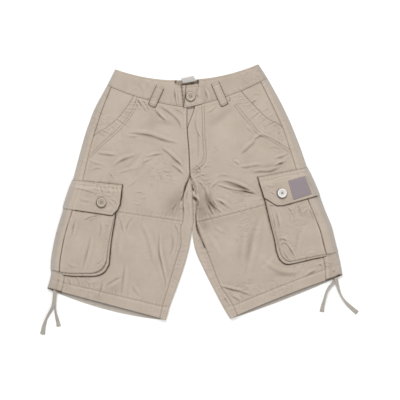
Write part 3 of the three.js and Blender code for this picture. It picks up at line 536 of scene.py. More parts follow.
# Broad hollows and swells: place in picture pixels, half length and half width in mm, the turn of
# its length in degrees, how far it rises in mm and how much painted shade lies in it; a value
# below 0 is painted light.
SWELLS = [
    ((210.5, 204), 16, 8.5, -55, -1.4, 0.42),
    ((208, 196), 11, 9, 80, -0.6, 0.22),
    ((209, 207), 46, 26, -58, -0.2, 0.14),
    ((194, 204), 40, 26, 90, 0, 0.09),
    ((201, 211), 30, 14, -70, -0.5, 0.2),
    ((204, 226), 16, 9, -60, -0.5, 0.14),
    ((176, 202), 34, 19, 62, -0.5, 0.22),
    ((175, 208), 60, 26, 0, 0, 0.05),
    ((194.6, 198.6), 6.5, 3.0, -55, -0.9, 1.2),
    ((196.9, 196.4), 8, 2.0, -52, 0.8, -0.6),
    ((193, 192.8), 5, 1.8, 15, 0.5, -0.5),
    ((181.4, 203.4), 4.5, 2.2, 60, 0.4, -0.5),
    ((238, 187.2), 24, 6, -19, -0.4, 0.38),
    ((246, 190.6), 14, 4, -17, -0.3, 0.25),
    ((206, 178), 26, 14, 60, 0, 0.08),
    ((155, 214), 70, 6, -5, -0.1, 0.04),
    ((240, 216), 75, 9, 15, -0.2, 0.05),
    ((175, 250), 55, 12, 100, -0.3, 0.05),
    ((208, 255), 60, 9, -65, -0.2, 0.06),
    ((95, 187), 30, 10, 0, -0.2, 0.06),
    ((214, 99), 18, 14, 60, -0.2, 0.04),
    ((166, 123), 17, 7, -8, -0.4, 0.16),
    ((150, 125), 30, 9, 5, -0.3, 0.05),
    ((162, 140), 12, 5, -14, -0.3, 0.12),
    ((222, 116), 34, 11, 38, -0.5, 0.17),
    ((153, 119), 26, 14, 75, -0.5, 0.1),
    ((118, 141), 30, 16, 30, 0.8, -0.05),
    ((228, 143), 60, 30, 80, 0.8, -0.03),
    ((135, 185), 50, 24, 30, 0.7, -0.04),
    ((247, 246), 60, 14, 70, -0.7, 0.05),
    ((228, 252), 60, 18, 70, 0.8, -0.03),
    ((133, 248), 60, 18, 100, 0.8, -0.03),
    ((115, 290), 18, 10, 20, -0.5, 0.1),
    ((285, 275), 28, 6, 0, -0.5, 0.1),
    ((262, 169), 26, 8, 12, -0.4, 0.16),
    ((279, 164.6), 16, 6, 20, -0.3, 0.14),
    ((197, 172), 14, 9, 90, -0.3, 0.12),
    ((106, 96), 16, 9, -20, -0.3, 0.08),
    ((339.4, 275.2), 7, 2.6, 22, 0, 1.5),
    ((325.6, 264.6), 5, 2.4, 80, 0, 0.3),
]
# Rows of stitches on the fronts away from a seam's edge, in picture pixels: beside the slanted
# pockets and down the fly.
ROWS = {
    "left": [[(137.2, 96.6), (134.6, 105), (130.3, 113.4), (120.5, 126.1), (102.2, 143), (89.6, 155.4)],
             [(139.4, 97.4), (136.8, 106), (132.2, 114.8), (122.2, 127.8), (103.8, 144.6), (89.2, 158.4)]],
    "right": [[(236.2, 104.4), (243, 113), (249.1, 120.2), (258, 131.2), (263.5, 135), (271, 138.6),
               (289.4, 149.8)],
              [(234, 105.4), (241, 114.6), (247.2, 122), (256.2, 133), (262, 136.8), (270.2, 140.6),
               (289.8, 152.6)],
              [(201.8, 105.8), (202.4, 120), (202.6, 134), (203.6, 148), (203.8, 156.5), (200.6, 163.4),
               (191, 170.6)],
              [(204.2, 105.6), (204.6, 120), (204.8, 134), (205.9, 148), (206, 157.5), (202.4, 165.2),
               (191.4, 173.2)]],
}


PIXEL, CENTRE_X, CENTRE_Y = 2.4, 194.75, 192


def on_sheet(pixel_x, pixel_y):
    """Where a pixel of the picture lies on the paper, in mm."""
    return (pixel_x - CENTRE_X) * PIXEL, (CENTRE_Y - pixel_y) * PIXEL


def sheet_line(points, step):
    """A smooth line through picture pixels, in mm, with a point at every step."""
    spots = np.array([on_sheet(*point) for point in points])
    run = run_of(spots)
    at = np.linspace(0, run[-1], max(2, int(round(run[-1] / step))) + 1)
    return np.stack([hermite(run, spots[:, axis], at) for axis in (0, 1)], axis=1)


def beside(x, y, line):
    """How far along a line each point lies, from 0 to 1, and how far to the line's left."""
    start, span = line[:-1], np.diff(line, axis=0)
    square = (span**2).sum(axis=1)
    run = ((x[:, None] - start[:, 0]) * span[:, 0] + (y[:, None] - start[:, 1]) * span[:, 1]) / square
    run = np.clip(run, 0, 1)
    off_x = x[:, None] - start[:, 0] - run * span[:, 0]
    off_y = y[:, None] - start[:, 1] - run * span[:, 1]
    away = np.hypot(off_x, off_y)
    best, rows = away.argmin(axis=1), np.arange(len(x))
    left = np.where(span[best, 0] * off_y[rows, best] - span[best, 1] * off_x[rows, best] >= 0, 1, -1)
    length = np.sqrt(square)
    before = np.concatenate([[0], np.cumsum(length)])
    share = (before[best] + run[rows, best] * length[best]) / before[-1]
    return share, away[rows, best] * left


def near_line(x, y, line, reach):
    """Which points lie inside a line's own rectangle, widened by reach."""
    return ((x > line[:, 0].min() - reach) & (x < line[:, 0].max() + reach)
            & (y > line[:, 1].min() - reach) & (y < line[:, 1].max() + reach))


def crease_lines(creases):
    return [(sheet_line(points, 5), wide, rise, dark) for points, wide, rise, dark in creases]


LEG_LINES = crease_lines(CREASES)
BACK_LINES = crease_lines([(*crease, 0) for crease in BACK_CREASES])
ROW_LINES = {side: [sheet_line(row, 4) for row in rows] for side, rows in ROWS.items()}


def bell(distance, wide):
    return np.exp(-((distance / wide) ** 2))


# Folds whose crest lies this far off, in mm, are narrow below the first and broad from the second.
NARROW, BROAD = 5, 8


def relief(lines, x, y, swells=(), rows=()):
    """The height that creases, swells and rows of stitches give to the plan, and the tone that
    goes with it: painted shade in their hollows and lines, and painted light on some swells.
    """
    x, y = np.broadcast_arrays(x, y)
    shape, x, y = x.shape, x.ravel(), y.ravel()
    height, tone = np.zeros(len(x)), np.zeros(len(x))
    for line, wide, rise, dark in lines:
        near = near_line(x, y, line, wide * 3)
        if not near.any():
            continue
        share, aside = beside(x[near], y[near], line)
        fade = np.sin(np.pi * share) ** (0.8 if dark < 0.9 else 0.35)
        u = aside / (wide * (0.55 + 0.45 * fade))
        crest = bell(u - 1.0, 0.85) + 0.35 * bell(u + 1.2, 1.0)
        dip = 0.45 if wide < BROAD else 0.1
        height[near] += 0.8 * fade * rise * (crest - dip * bell(u, 0.45))
        # Painted shade lies in the crease's line, stronger and weaker along it.
        shade_strength = 0.72 + 0.28 * np.sin(share * 11 + wide * 3 + line[0, 0] / 7)
        core, line_dark = (1.2, 0.72) if wide < NARROW else (0.22 * wide, 0.6)
        if wide >= BROAD:
            core, line_dark = 0.55 * wide, 0.3
        tone[near] -= fade * shade_strength * dark * (line_dark * bell(aside, core) + 0.4 * bell(u + 0.5, 0.8))
    for (pixel_x, pixel_y), long, short, turn, rise, dark in swells:
        middle_x, middle_y = on_sheet(pixel_x, pixel_y)
        off_x, off_y = x - middle_x, y - middle_y
        cos, sin = np.cos(np.radians(turn)), np.sin(np.radians(turn))
        mound = np.exp(-(((off_x * cos + off_y * sin) / long) ** 2)
                       - (((off_y * cos - off_x * sin) / short) ** 2))
        height += rise * mound
        tone -= dark * mound
    for line in rows:
        near = near_line(x, y, line, 5)
        if not near.any():
            continue
        share, aside = beside(x[near], y[near], line)
        # Each row draws a shallow groove, with painted shade in it.
        drawn = ((share > 0) & (share < 1)) * bell(aside, 1.3)
        height[near] -= 0.4 * drawn
        tone[near] -= 0.2 * drawn
    return height.reshape(shape), tone.reshape(shape)


def line_tone(x, y, line, wide, dark):
    """The painted shade of a dark line where one piece lies on another, deep in the gap between them."""
    x, y = np.broadcast_arrays(x, y)
    shape, x, y = x.shape, x.ravel(), y.ravel()
    tone = np.zeros(len(x))
    near = near_line(x, y, line, wide * 4)
    if near.any():
        share, aside = beside(x[near], y[near], line)
        broken = 0.8 + 0.2 * np.sin(share * 61 + 2 * np.sin(share * 23))
        tone[near] = -dark * broken * bell(aside, wide)
    return tone.reshape(shape)


def lift_at(side, along, place):
    return level(side, "lift", along) * (1 - smooth((place - LIFT_KEEP) / LIFT_FADE))


def leg_relief(side, along, place):
    return relief(LEG_LINES, *plan(side, along, place), SWELLS, ROW_LINES[side])


def height_at(side, along, place):
    hem = HEM_RISE * smooth((along - HEM[side] + HEM_TURN) / 3)
    return BODY + lift_at(side, along, place) + leg_relief(side, along, place)[0] + hem


def tone_at(side, along, place):
    return leg_relief(side, along, place)[1]


def on_top(side, along, place, out=0.0):
    return joined(*plan(side, along, place), height_at(side, along, place) + out)


def on_under(side, along, place, out=0.0):
    x, y = plan(side, along, place, "back_sag")
    trough = np.clip(relief(BACK_LINES, x, y)[0], 0, 1) * smooth((place - EDGE) / 25)
    return joined(x, y, lift_at(side, along, place) + trough - out)


def on_roll(side, along, place, direction, turn, out=0.0, drop=0.0):
    """Round a leg's edge. turn is the angle from level, above 0 towards the upper side."""
    low = lift_at(side, along, place)
    half = (height_at(side, along, place) - drop - low) / 2
    x, y = plan(side, along, place + direction * (EDGE + out) * np.cos(turn))
    return joined(x, y, low + half + (half + out) * np.sin(turn))


# Places in mm from a piece's edge, close together as far as its seam reaches.
NEAR_EDGE = np.array([0, 0.7, 1.5, 2.4, 3.6, 5.2, 6.8, 7.8, 8.8, 10.2, 12.0])


def spread(start, end):
    """Places from start to end, a step apart but closer together near both edges."""
    start, end = np.asarray(start, float), np.asarray(end, float)
    inside = max(2, int(round((np.max(end - start) - 2 * NEAR_EDGE[-1]) / STEP)))
    share = np.linspace(0, 1, inside + 1)[1:-1]
    low, high = start[..., None] + NEAR_EDGE, end[..., None] - NEAR_EDGE[::-1]
    middle = low[..., -1:] + (high[..., :1] - low[..., -1:]) * share
    return np.concatenate([low, middle, high], axis=-1)


def weave_over(grid, along):
    """The weave's places on a grid of points: how far round the cloth, and how far down the leg."""
    girth = np.cumsum(np.linalg.norm(np.diff(grid, axis=1, prepend=grid[:, :1]), axis=2), axis=1)
    return joined(girth, along)


# The cloth's inner side is this much paler, as a tone.
INSIDE_PALER = 0.3


def shell(outer, inner, tones, weave, bulge=0.45):
    """A closed shell between two grids of points, its rim rounded like a folded edge."""
    rows, columns = outer.shape[:2]
    index = np.arange(rows * columns).reshape(rows, columns)
    rim = np.concatenate([index[0, :-1], index[:-1, -1], index[-1, :0:-1], index[:0:-1, 0]])
    away = np.zeros_like(outer)
    away[0] += outer[0] - outer[1]
    away[-1] += outer[-1] - outer[-2]
    away[:, 0] += outer[:, 0] - outer[:, 1]
    away[:, -1] += outer[:, -1] - outer[:, -2]
    away = away.reshape(-1, 3)[rim]
    away /= np.maximum(np.linalg.norm(away, axis=1), 1e-6)[:, None]
    flat_outer, flat_inner = outer.reshape(-1, 3), inner.reshape(-1, 3)
    middle = (flat_outer[rim] + flat_inner[rim]) / 2 + away * bulge
    points = np.concatenate([flat_outer, flat_inner, middle])
    size, count = rows * columns, len(rim)
    a, b = index[:-1, :-1].ravel(), index[1:, :-1].ravel()
    c, d = index[1:, 1:].ravel(), index[:-1, 1:].ravel()
    here, there = rim, np.roll(rim, -1)
    mid, mid_next = 2 * size + np.arange(count), 2 * size + np.roll(np.arange(count), -1)
    quads = np.concatenate([
        np.stack([a, b, c, d], axis=1), np.stack([a, d, c, b], axis=1) + size,
        np.stack([here, there, mid_next, mid], axis=1),
        np.stack([mid, mid_next, there + size, here + size], axis=1)])
    corner = points[quads]
    volume = np.einsum("ij,ij->", corner[:, 0], np.cross(corner[:, 1], corner[:, 2])
                       + np.cross(corner[:, 2], corner[:, 3]))
    if volume < 0:
        quads = quads[:, ::-1]
    tones, weave = tones.reshape(-1), weave.reshape(-1, 2)
    return (points, quads.tolist(), np.concatenate([weave, weave, weave[rim]]),
            np.concatenate([tones, tones + INSIDE_PALER, tones[rim]]))


def wear_and_shade_of(points):
    """Washing pales what stands proud, and painted shade darkens the hollows."""
    z = points[..., 2]
    level_z = z.copy()
    for _ in range(6):
        padded = np.pad(level_z, 1, mode="edge")
        level_z = (padded[:-2, 1:-1] + padded[2:, 1:-1] + padded[1:-1, :-2] + padded[1:-1, 2:]
                   + padded[1:-1, 1:-1]) / 5
    return np.clip((z - level_z) * 1.1, -0.6, 0.5)


def remap(tree, value, start, end, low, high):
    """A value held between start and end, and brought to low and high."""
    return add_node(tree, "ShaderNodeMapRange", {"Value": value, "From Min": start, "From Max": end,
                                                 "To Min": low, "To Max": high}).outputs["Result"]


def calc(tree, operation, *values):
    return add_node(tree, "ShaderNodeMath", dict(enumerate(values)), operation=operation).outputs[0]


def attribute(tree, name):
    return add_node(tree, "ShaderNodeAttribute", attribute_name=name).outputs["Fac"]


SHADE, GREYING = "#402a18", "#a09a94"


# Washed cotton twill: a matt beige with fine slanting ribs, streaks where the yarn is thicker,
# and a soft mottle from the wash. The ribs are 1.5 mm apart, about twice the real ones, so that
# they show. Its fuzz gives a slight sheen. Where the tone is below 0, painted shade darkens the
# seams' hollows, creases and gaps; above 0 the cloth is paler, worn on the crests and lifted by
# painted light.
def washed_twill(name, pale, deep):
    material, tree, shader = new_material(name, 0.92, Sheen_Weight=0.18, Sheen_Roughness=0.5)
    flat = weave_places(tree)
    spot = object_places(tree)
    ribs = texture(tree, "Wave", flat, 105.0, "DIAGONAL", Distortion=1.2, Detail=2.0, Detail_Scale=2.0)
    yarn = add_node(tree, "ShaderNodeMapping", {"Vector": flat, "Scale": (520, 60, 1)}).outputs["Vector"]
    slub = texture(tree, "Noise", yarn, 1.0, Detail=3.0)
    wash = texture(tree, "Noise", spot, 22.0, Detail=4.0, Roughness=0.6)
    crinkle = texture(tree, "Noise", spot, 60.0, Detail=5.0, Roughness=0.62, Distortion=0.6)
    tone = attribute(tree, "tone")
    bright = calc(tree, "MULTIPLY", remap(tree, slub, 0.3, 0.7, 0.98, 1.02),
                  remap(tree, tone, 0.0, 1.0, 1.0, 1.35))
    cloth = add_node(tree, "ShaderNodeVectorMath", {0: blend(tree, wash, deep, pale), "Scale": bright},
                     operation="SCALE").outputs["Vector"]
    # Where the cloth turns down, and along the legs' outer folds, painted shade mixes in a cooler
    # grey. The same attribute also brings the grey onto the low strip of the back under a hem.
    normal = add_node(tree, "ShaderNodeNewGeometry").outputs["Normal"]
    upright = add_node(tree, "ShaderNodeSeparateXYZ", {0: normal}).outputs["Z"]
    steep = remap(tree, upright, 0.9, 0.35, 0.0, 0.5)
    greyed = blend(tree, calc(tree, "MAXIMUM", steep, attribute(tree, "greyed")), cloth, GREYING)
    shaded = blend(tree, remap(tree, tone, 0.0, -1.0, 0.0, 1.0), greyed, SHADE)
    # Small sharp wrinkles lie in patches, where one noise crosses its middle value, and painted
    # shade darkens their lines a little.
    bent = add_node(tree, "ShaderNodeMapping", {"Vector": spot, "Rotation": (0, 0, 0.6),
                                                "Scale": (1, 1.9, 1)}).outputs["Vector"]
    veins = texture(tree, "Noise", bent, 24.0, Detail=2.0, Distortion=1.4)
    gap = calc(tree, "ABSOLUTE", calc(tree, "SUBTRACT", veins, 0.5))
    patches = remap(tree, texture(tree, "Noise", spot, 11.0), 0.5, 0.64, 0.0, 1.0)
    wrinkle = calc(tree, "MULTIPLY", remap(tree, gap, 0.0, 0.022, 1.0, 0.0), patches)
    rough = bump(tree, crinkle, 0.0016, 0.55)
    sunk = bump(tree, wrinkle, 0.0006, 0.6, rough, invert=True)
    finish_material(tree, shader, blend(tree, calc(tree, "MULTIPLY", wrinkle, 0.22), shaded, SHADE),
                    bump(tree, ribs, 0.0002, 0.4, sunk))
    return material


twill = washed_twill("washed_cotton_twill", "#b8ab9f", "#a39687")
OUTER_FOLDS = [np.stack(plan(side, np.linspace(WAIST_TOP, HEM[side], 90), 0.0), axis=1)
               for side in SIDES]
HEM_LINES = [np.stack(plan(side, HEM[side], np.linspace(0, width_at(side, HEM[side]), 40)), axis=1)
             for side in SIDES]


def greyed_at(x, y, z):
    """How much the cloth is greyed: beside a leg's outer fold, as painted shade on the edge that
    turns down, and on the low strip of the back that shows under a hem."""
    fade = np.zeros(len(x))
    for line in OUTER_FOLDS:
        near = near_line(x, y, line, 15)
        if near.any():
            fade[near] += 0.85 * bell(beside(x[near], y[near], line)[1], 8.0)
    for line in HEM_LINES:
        low = near_line(x, y, line, 16) & (z < 2.5)
        if low.any():
            fade[low] = 0.9 * bell(beside(x[low], y[low], line)[1], 13.0)
    return fade


def cloth_piece(name, outer, inner, tones, weave, flat, area, material=None, slot="washed_twill"):
    """Makes a closed piece of cloth from its two faces, in the place of a solid of the same name."""
    points, faces, weave, tones = shell(outer, inner, tones, weave)
    piece = finish_mesh(f"{name}_cloth", points, faces, weave, tones, material or twill)
    set_values(piece.data, "greyed", greyed_at(*points.T))
    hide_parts(name)
    return piece


def sewn_edge(distance, turned=8.0, lap=0.6, roll=0.9):
    """Height beside a sewn edge: rounded off at the edge itself, thick as far as the turning
    reaches, and drawn down along two rows of stitches."""
    ridge = lap * (1 - smooth((distance - turned) / 3))
    rows = 0.4 * (bell(distance - 2.4, 0.9) + bell(distance - turned, 0.9))
    return ridge - roll * bell(distance, 1.1) - rows


def seam_tone(distance, dark=0.3, wide=0.9):
    """Painted shade in the hollow along a seam or a sewn edge."""
    return -dark * bell(distance, wide)


def pucker(run, distance, depth, pitch, reach=7.0):
    """Small ridges that a seam's shrinking thread draws up across it, uneven in length and height
    and slanting this way and that."""
    run = run + 0.35 * distance * np.sin(run / 23.0 + 1.1)
    phase = run / pitch * 2 * np.pi
    wave = (np.sin(phase + 1.2 * np.sin(phase * 0.23)) + 0.7 * np.sin(phase * 0.618 + 1.3)
            + 0.45 * np.sin(phase * 1.71 + 4.1)) / 1.6
    patchy = 0.45 + 0.55 * np.sin(phase * 0.171 + 0.6) ** 2
    far = 1 + 0.5 * np.sin(phase * 0.37 + 2.2)
    clear = 1 - 0.9 * bell(distance, 2.2)
    return depth * patchy * clear * wave * np.exp(-((np.maximum(distance, 0) / (reach * far)) ** 1.5))


def edge_line(spots, to_front, to_bottom, distance):
    """The line at one distance inside a patch: down its front edge, then along its lower edge."""
    line = []

    def add(places, gap, other):
        if np.interp(distance, gap, other) >= distance:
            line.append([np.interp(distance, gap, places[:, axis]) for axis in (0, 1)])

    for row in range(len(spots)):
        add(spots[row, ::-1], to_front[row, ::-1], to_bottom[row, ::-1])
    for column in range(spots.shape[1] - 1, -1, -1):
        add(spots[::-1, column], to_bottom[::-1, column], to_front[::-1, column])
    return np.array(line)


# Polyester sewing thread: a twisted strand, so fine dark and light bands cross it.
thread, tree, shader = new_material("sewing_thread", 0.7, Sheen_Weight=0.2)
ply = texture(tree, "Noise", object_places(tree), 900.0)
finish_material(tree, shader, blend(tree, ply, "#988b7c", "#bdb2a5"))

# Rows of lockstitch: the tree sets one low drop of thread at each pitch along a line, turned to
# the line and a little uneven in length.
STITCH_PITCH, SHORT_PITCH = 0.0032, 0.0027
STITCH_INPUTS = {"Stitch Length": 0.0024, "Thread Radius": 0.00034}
stitching = bpy.data.node_groups.new("lockstitch_rows", "GeometryNodeTree")
for label, way, kind in [("Geometry", "INPUT", "NodeSocketGeometry"),
                         ("Geometry", "OUTPUT", "NodeSocketGeometry"),
                         ("Pitch", "INPUT", "NodeSocketFloat"),
                         ("Stitch Length", "INPUT", "NodeSocketFloat"),
                         ("Thread Radius", "INPUT", "NodeSocketFloat"),
                         ("Seed", "INPUT", "NodeSocketInt")]:
    stitching.interface.new_socket(label, in_out=way, socket_type=kind)
given = add_node(stitching, "NodeGroupInput")
row = add_node(stitching, "GeometryNodeMeshToCurve", {"Mesh": given.outputs["Geometry"]})
even = add_node(stitching, "GeometryNodeResampleCurve", {
    "Curve": row.outputs["Curve"], "Length": given.outputs["Pitch"]}, mode="LENGTH")
drop = add_node(stitching, "GeometryNodeMeshUVSphere", {"Segments": 6, "Rings": 4, "Radius": 1.0})
heading = add_node(stitching, "FunctionNodeAlignRotationToVector", {
    "Vector": add_node(stitching, "GeometryNodeInputTangent").outputs["Tangent"]}, axis="Z")
uneven = add_node(stitching, "FunctionNodeRandomValue", {"Seed": given.outputs["Seed"]})
uneven.inputs[2].default_value, uneven.inputs[3].default_value = 0.4, 0.54
half = calc(stitching, "MULTIPLY", given.outputs["Stitch Length"], uneven.outputs[1])
size = add_node(stitching, "ShaderNodeCombineXYZ", {
    "X": given.outputs["Thread Radius"], "Y": given.outputs["Thread Radius"], "Z": half})
placed = add_node(stitching, "GeometryNodeInstanceOnPoints", {
    "Points": even.outputs["Curve"], "Instance": drop.outputs["Mesh"],
    "Rotation": heading.outputs["Rotation"], "Scale": size.outputs["Vector"]})
real = add_node(stitching, "GeometryNodeRealizeInstances", {"Geometry": placed.outputs["Instances"]})
coated = add_node(stitching, "GeometryNodeSetMaterial", {"Geometry": real.outputs["Geometry"],
                                                         "Material": thread})
add_node(stitching, "NodeGroupOutput", {"Geometry": coated.outputs["Geometry"]})


def sew(name, piece, lines, seed, pitch=STITCH_PITCH):
    """Lays rows of stitches along lines of the plan, in mm, on a piece's upper face."""
    surface = BVHTree.FromPolygons([v.co for v in piece.data.vertices],
                                   [p.vertices[:] for p in piece.data.polygons])
    points, edges = [], []
    for line in lines:
        line = np.asarray(line, float) / 1000
        run = run_of(line)
        at = np.linspace(0, run[-1], max(2, int(run[-1] / 0.0015)))
        last = False
        for x, y in zip(np.interp(at, run, line[:, 0]), np.interp(at, run, line[:, 1])):
            hit = surface.ray_cast(Vector((x, y, 0.1)), Vector((0, 0, -1)))[0]
            if hit is None:
                last = False
                continue
            points.append((x, y, hit.z + 0.0001))
            if last:
                edges.append((len(points) - 2, len(points) - 1))
            last = True
    mesh = bpy.data.meshes.new(name)
    mesh.from_pydata(points, edges, [])
    rows = add_object(name, mesh)
    maker = rows.modifiers.new("lockstitch", "NODES")
    maker.node_group = stitching
    values = dict(STITCH_INPUTS, Pitch=pitch, Seed=seed)
    for socket in stitching.interface.items_tree:
        if socket.in_out == "INPUT" and socket.name in values:
            maker[socket.identifier] = values[socket.name]
    graph = bpy.context.evaluated_depsgraph_get()
    rows.data = bpy.data.meshes.new_from_object(rows.evaluated_get(graph))
    rows.modifiers.clear()
    rows.data.name = name
    rows.data.polygons.foreach_set("use_smooth", np.ones(len(rows.data.polygons), bool))
    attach(rows, "root")


def in_plan(side, along, place):
    return joined(*plan(side, along, place))


# Where the cargo pockets and their flaps lie: top, front edge, where that edge is measured and how
# fast it leans, then the lower edge at shares of the width.
Pocket = namedtuple("Pocket", "top front measured lean lower")
FLAPS = {
    "left": Pocket(222, 119, 222, 0.19, [(0, 299), (0.87, 299), (0.96, 284), (1, 268)]),
    "right": Pocket(219, 120, 219, 0.08, [(0, 304), (0.7, 303), (0.81, 299), (0.94, 279), (1, 271)]),
}
BAGS = {
    "left": Pocket(242, 123, 288, 0.115, [(0, 474), (0.3, 471), (0.57, 463), (0.78, 455),
                                          (0.93, 440), (1, 421)]),
    "right": Pocket(242, 129, 308, 0.135, [(0, 469), (0.37, 459), (0.75, 452), (0.87, 446),
                                           (0.96, 428), (1, 404)]),
}


def lower_edge(pocket, share, rounded=False):
    knots = np.array(pocket.lower, float)
    if rounded:
        return hermite(knots[:, 0], knots[:, 1], np.clip(share, 0, 1))
    return np.interp(share, knots[:, 0], knots[:, 1])


def front_edge(pocket, along):
    return pocket.front + (along - pocket.measured) * pocket.lean


def outline(side, pocket, rounded, beyond=0.6):
    """A pocket's or flap's outline in the plan, from its upper front corner to its side."""
    down = np.linspace(pocket.top, lower_edge(pocket, 1.0, rounded), 24)
    share = np.linspace(1, 0, 40)[1:]
    along = np.concatenate([down, lower_edge(pocket, share, rounded) + beyond])
    share = np.concatenate([0 * down + 1, share])
    return in_plan(side, along, (front_edge(pocket, along) + beyond) * share)


# Belt loops from their upper to their lower end, in mm.
LOOP_WIDE = 18
LOOPS = {"left": ((-83, 251), (-103, 206)), "right": ((49, 260), (71.5, 208))}


def loop_corners(side):
    top_end, low_end = np.array(LOOPS[side], float)
    half = (low_end - top_end) / np.linalg.norm(low_end - top_end) * LOOP_WIDE / 2
    right = np.array([-half[1], half[0]])
    return np.array([top_end - right, top_end + right, low_end + right, low_end - right])


def gap_tone(side, x, y, loops=True, flap=True, bag=True):
    """Painted shade as dark lines in the gaps round what is sewn on a front: loop, flap and pocket."""
    tone = np.zeros(np.broadcast(x, y).shape)
    if loops:
        corners = loop_corners(side)
        tone = tone + line_tone(x, y, np.array([*corners[1:], corners[0]]), 1.3, 1.0)
    if bag:
        tone = tone + line_tone(x, y, outline(side, BAGS[side], True), 1.7, 1.5)
    if flap:
        # The flap's lower line fades where the flap lies close, near the leg's outer fold.
        close = smooth((np.abs(x) + {"left": -288, "right": -360}[side]) / 9)
        tone = tone + line_tone(x, y, outline(side, FLAPS[side], False), 1.7, 1.5) * (1 - 0.9 * close)
        seam = in_plan(side, FLAPS[side].top - 1.0, np.linspace(FLAPS[side].front, 26, 30))
        tone = tone + line_tone(x, y, seam, 1.2, {"left": 0.7, "right": 0.4}[side])
    return tone


# Columns of a back panel's grid: wrapped outer edge, fold, underside, then the inner fold and edge,
# or the flat end at the centre back.
WRAP_IN = np.array([0, 0.04, 0.09, 0.16, 0.26, 0.4, 0.55, 0.7, 0.85])
WRAP_OUT = np.array([0.15, 0.3, 0.45, 0.6, 0.74, 0.84, 0.91, 0.96, 1])
HALF_TURN = np.linspace(np.pi / 2, -np.pi / 2, 11)[None, :]
WRAP, UNDER = len(WRAP_IN), 56
UNDER_AT = WRAP + HALF_TURN.size
TAIL_AT, MOUTH_AT = UNDER_AT + UNDER, UNDER_AT + 14
UNDER_START, FLAT_END = 10.0, 9
for side in SIDES:
    along = spread(SEAT, HEM[side])[:, None]
    width = width_at(side, along) - SEAM / 2
    edge = level(side, "side", along) - SEAM / 2
    wrapped = along > CROTCH - 1
    drop = np.where(wrapped, (LAYER + SEAM) * (1 - smooth((along - CROTCH - 18) / 30)), LAYER + SEAM)
    inner_start = width - EDGE
    inner_end = width + SEAM / 2 - np.maximum(level(side, "inset", along) - SEAM / 2, EDGE + 2)
    wrap_in = edge - (edge - EDGE) * WRAP_IN
    wrap_out = inner_start + (inner_end - inner_start) * WRAP_OUT
    under_end = width - np.where(wrapped, EDGE, FLAT_END)
    under = UNDER_START + (under_end - UNDER_START) * np.linspace(0, 1, UNDER)

    def skin(out):
        outer_wrap = on_top(side, along, wrap_in, out)
        outer_wrap[..., 2] += sewn_edge(edge - wrap_in, 7) + pucker(along, edge - wrap_in, 0.5, 13)
        outer_roll = on_roll(side, along, EDGE, -1, HALF_TURN, out)
        inner_roll = on_roll(side, along, inner_start, 1, HALF_TURN[:, ::-1], out, drop)
        inner_wrap = on_top(side, along, wrap_out, out - drop)
        inner_wrap[..., 2] += (sewn_edge(inner_end - wrap_out, 7)
                               + pucker(along, inner_end - wrap_out, 0.35, 11)
                               * smooth((along - 300) / 60)) * wrapped
        # Above the crotch the panel ends flat at the centre back, under the fronts.
        last = np.linspace(0, FLAT_END, WRAP + HALF_TURN.size)
        flat_end = on_under(side, along, width - FLAT_END + last, out)
        tail = np.where(wrapped[..., None], np.concatenate([inner_roll, inner_wrap], axis=1), flat_end)
        return np.concatenate([outer_wrap, outer_roll, on_under(side, along, under, out), tail], axis=1)

    outer, inner = skin(0.0), skin(-CLOTH)
    tones = wear_and_shade_of(outer) * 0.5
    # Painted shade lies in the side seam, along the hem and in the creases.
    tones[:, :WRAP] += seam_tone(edge - wrap_in) + tone_at(side, along, wrap_in)
    tones[:, :UNDER_AT] += seam_tone(HEM[side] - along, 1.1, 3.0)
    tones[:, UNDER_AT:TAIL_AT] += 0.3 * smooth((along - HEM[side] + 16) / 8)
    # Painted shade darkens the open ends of the hem's channel.
    mouth = 1.1 * smooth((along - HEM[side] + 12) / 5)
    tones[:, UNDER_AT:MOUTH_AT] -= mouth * np.linspace(1, 0, MOUTH_AT - UNDER_AT)[None, :]
    tones[:, -WRAP:] += seam_tone(inner_end - wrap_out) * wrapped
    crotch = outer[:, TAIL_AT:]
    tones[:, TAIL_AT:] += relief(LEG_LINES, crotch[..., 0], crotch[..., 1], SWELLS)[1] * wrapped
    tones[:, TAIL_AT:] += 0.1 * wrapped * (1 - smooth((along - 290) / 40))
    # Painted shade lies on the back along the front's hem.
    hem_line = in_plan(side, HEM[side], np.linspace(30, width_at(side, HEM[side]) - 12, 40))
    tones += line_tone(outer[..., 0], outer[..., 1], hem_line, 1.6, 0.5)
    cloth_piece(f"back_{side}", outer, inner, tones, weave_over(outer, along), (0.36, 0.53), 0.165)


# ---- Hand-pocket facings ----
# A facing of the same twill shows between the slanted opening and the side seam, and runs on
# under the front.
FACING_UNDER = 14
for side in SIDES:
    along = spread(SEAM / 2, SLANT_END)[:, None]
    start = level(side, "side", along) + SEAM / 2
    front = level(side, "front", along)
    end = front + FACING_UNDER
    share = np.linspace(0, 1, 34)[None, :]
    place = start + (end - start) * share
    grid = [on_top(side, along, place, out) for out in (-LAYER, -LAYER - CLOTH)]
    for points in grid:
        points[..., 2] += 0.5 * np.sin(along / 9) * share * (1 - share)
    tones = wear_and_shade_of(grid[0]) * 0.6 + seam_tone(place - start, 0.2) + seam_tone(front - place, 0.4, 1.4)
    tones, weave = tones + tone_at(side, along, place), joined(place, along)
    cloth_piece(f"pocket_facing_{side}", *grid, tones, weave, (0.075, 0.118), 0.0056)


# ---- Fly shield ----
# The shield behind the fly is a doubled strip of the twill, seen where the right front falls
# away below the fly button.
up, over = np.linspace(199, 55, 60)[:, None], np.linspace(-26, 18, 20)[None, :]
grid = [joined(over, up, BODY + out) for out in (-LAYER, -LAYER - CLOTH)]
cloth_piece("fly_shield", *grid, wear_and_shade_of(grid[0]), joined(over, up), (0.044, 0.144), 0.0063)


# ---- Upper and lower fronts ----
# Each front is cut in two, sewn together by a flat double-stitched seam across the knee. The
# upper part has the slanted pocket edge, and the lower one a hem turned up 26 mm as a channel.
# Rows of stitches beside a sewn edge, in mm from it.
EDGE_ROWS = (2.4, 8)


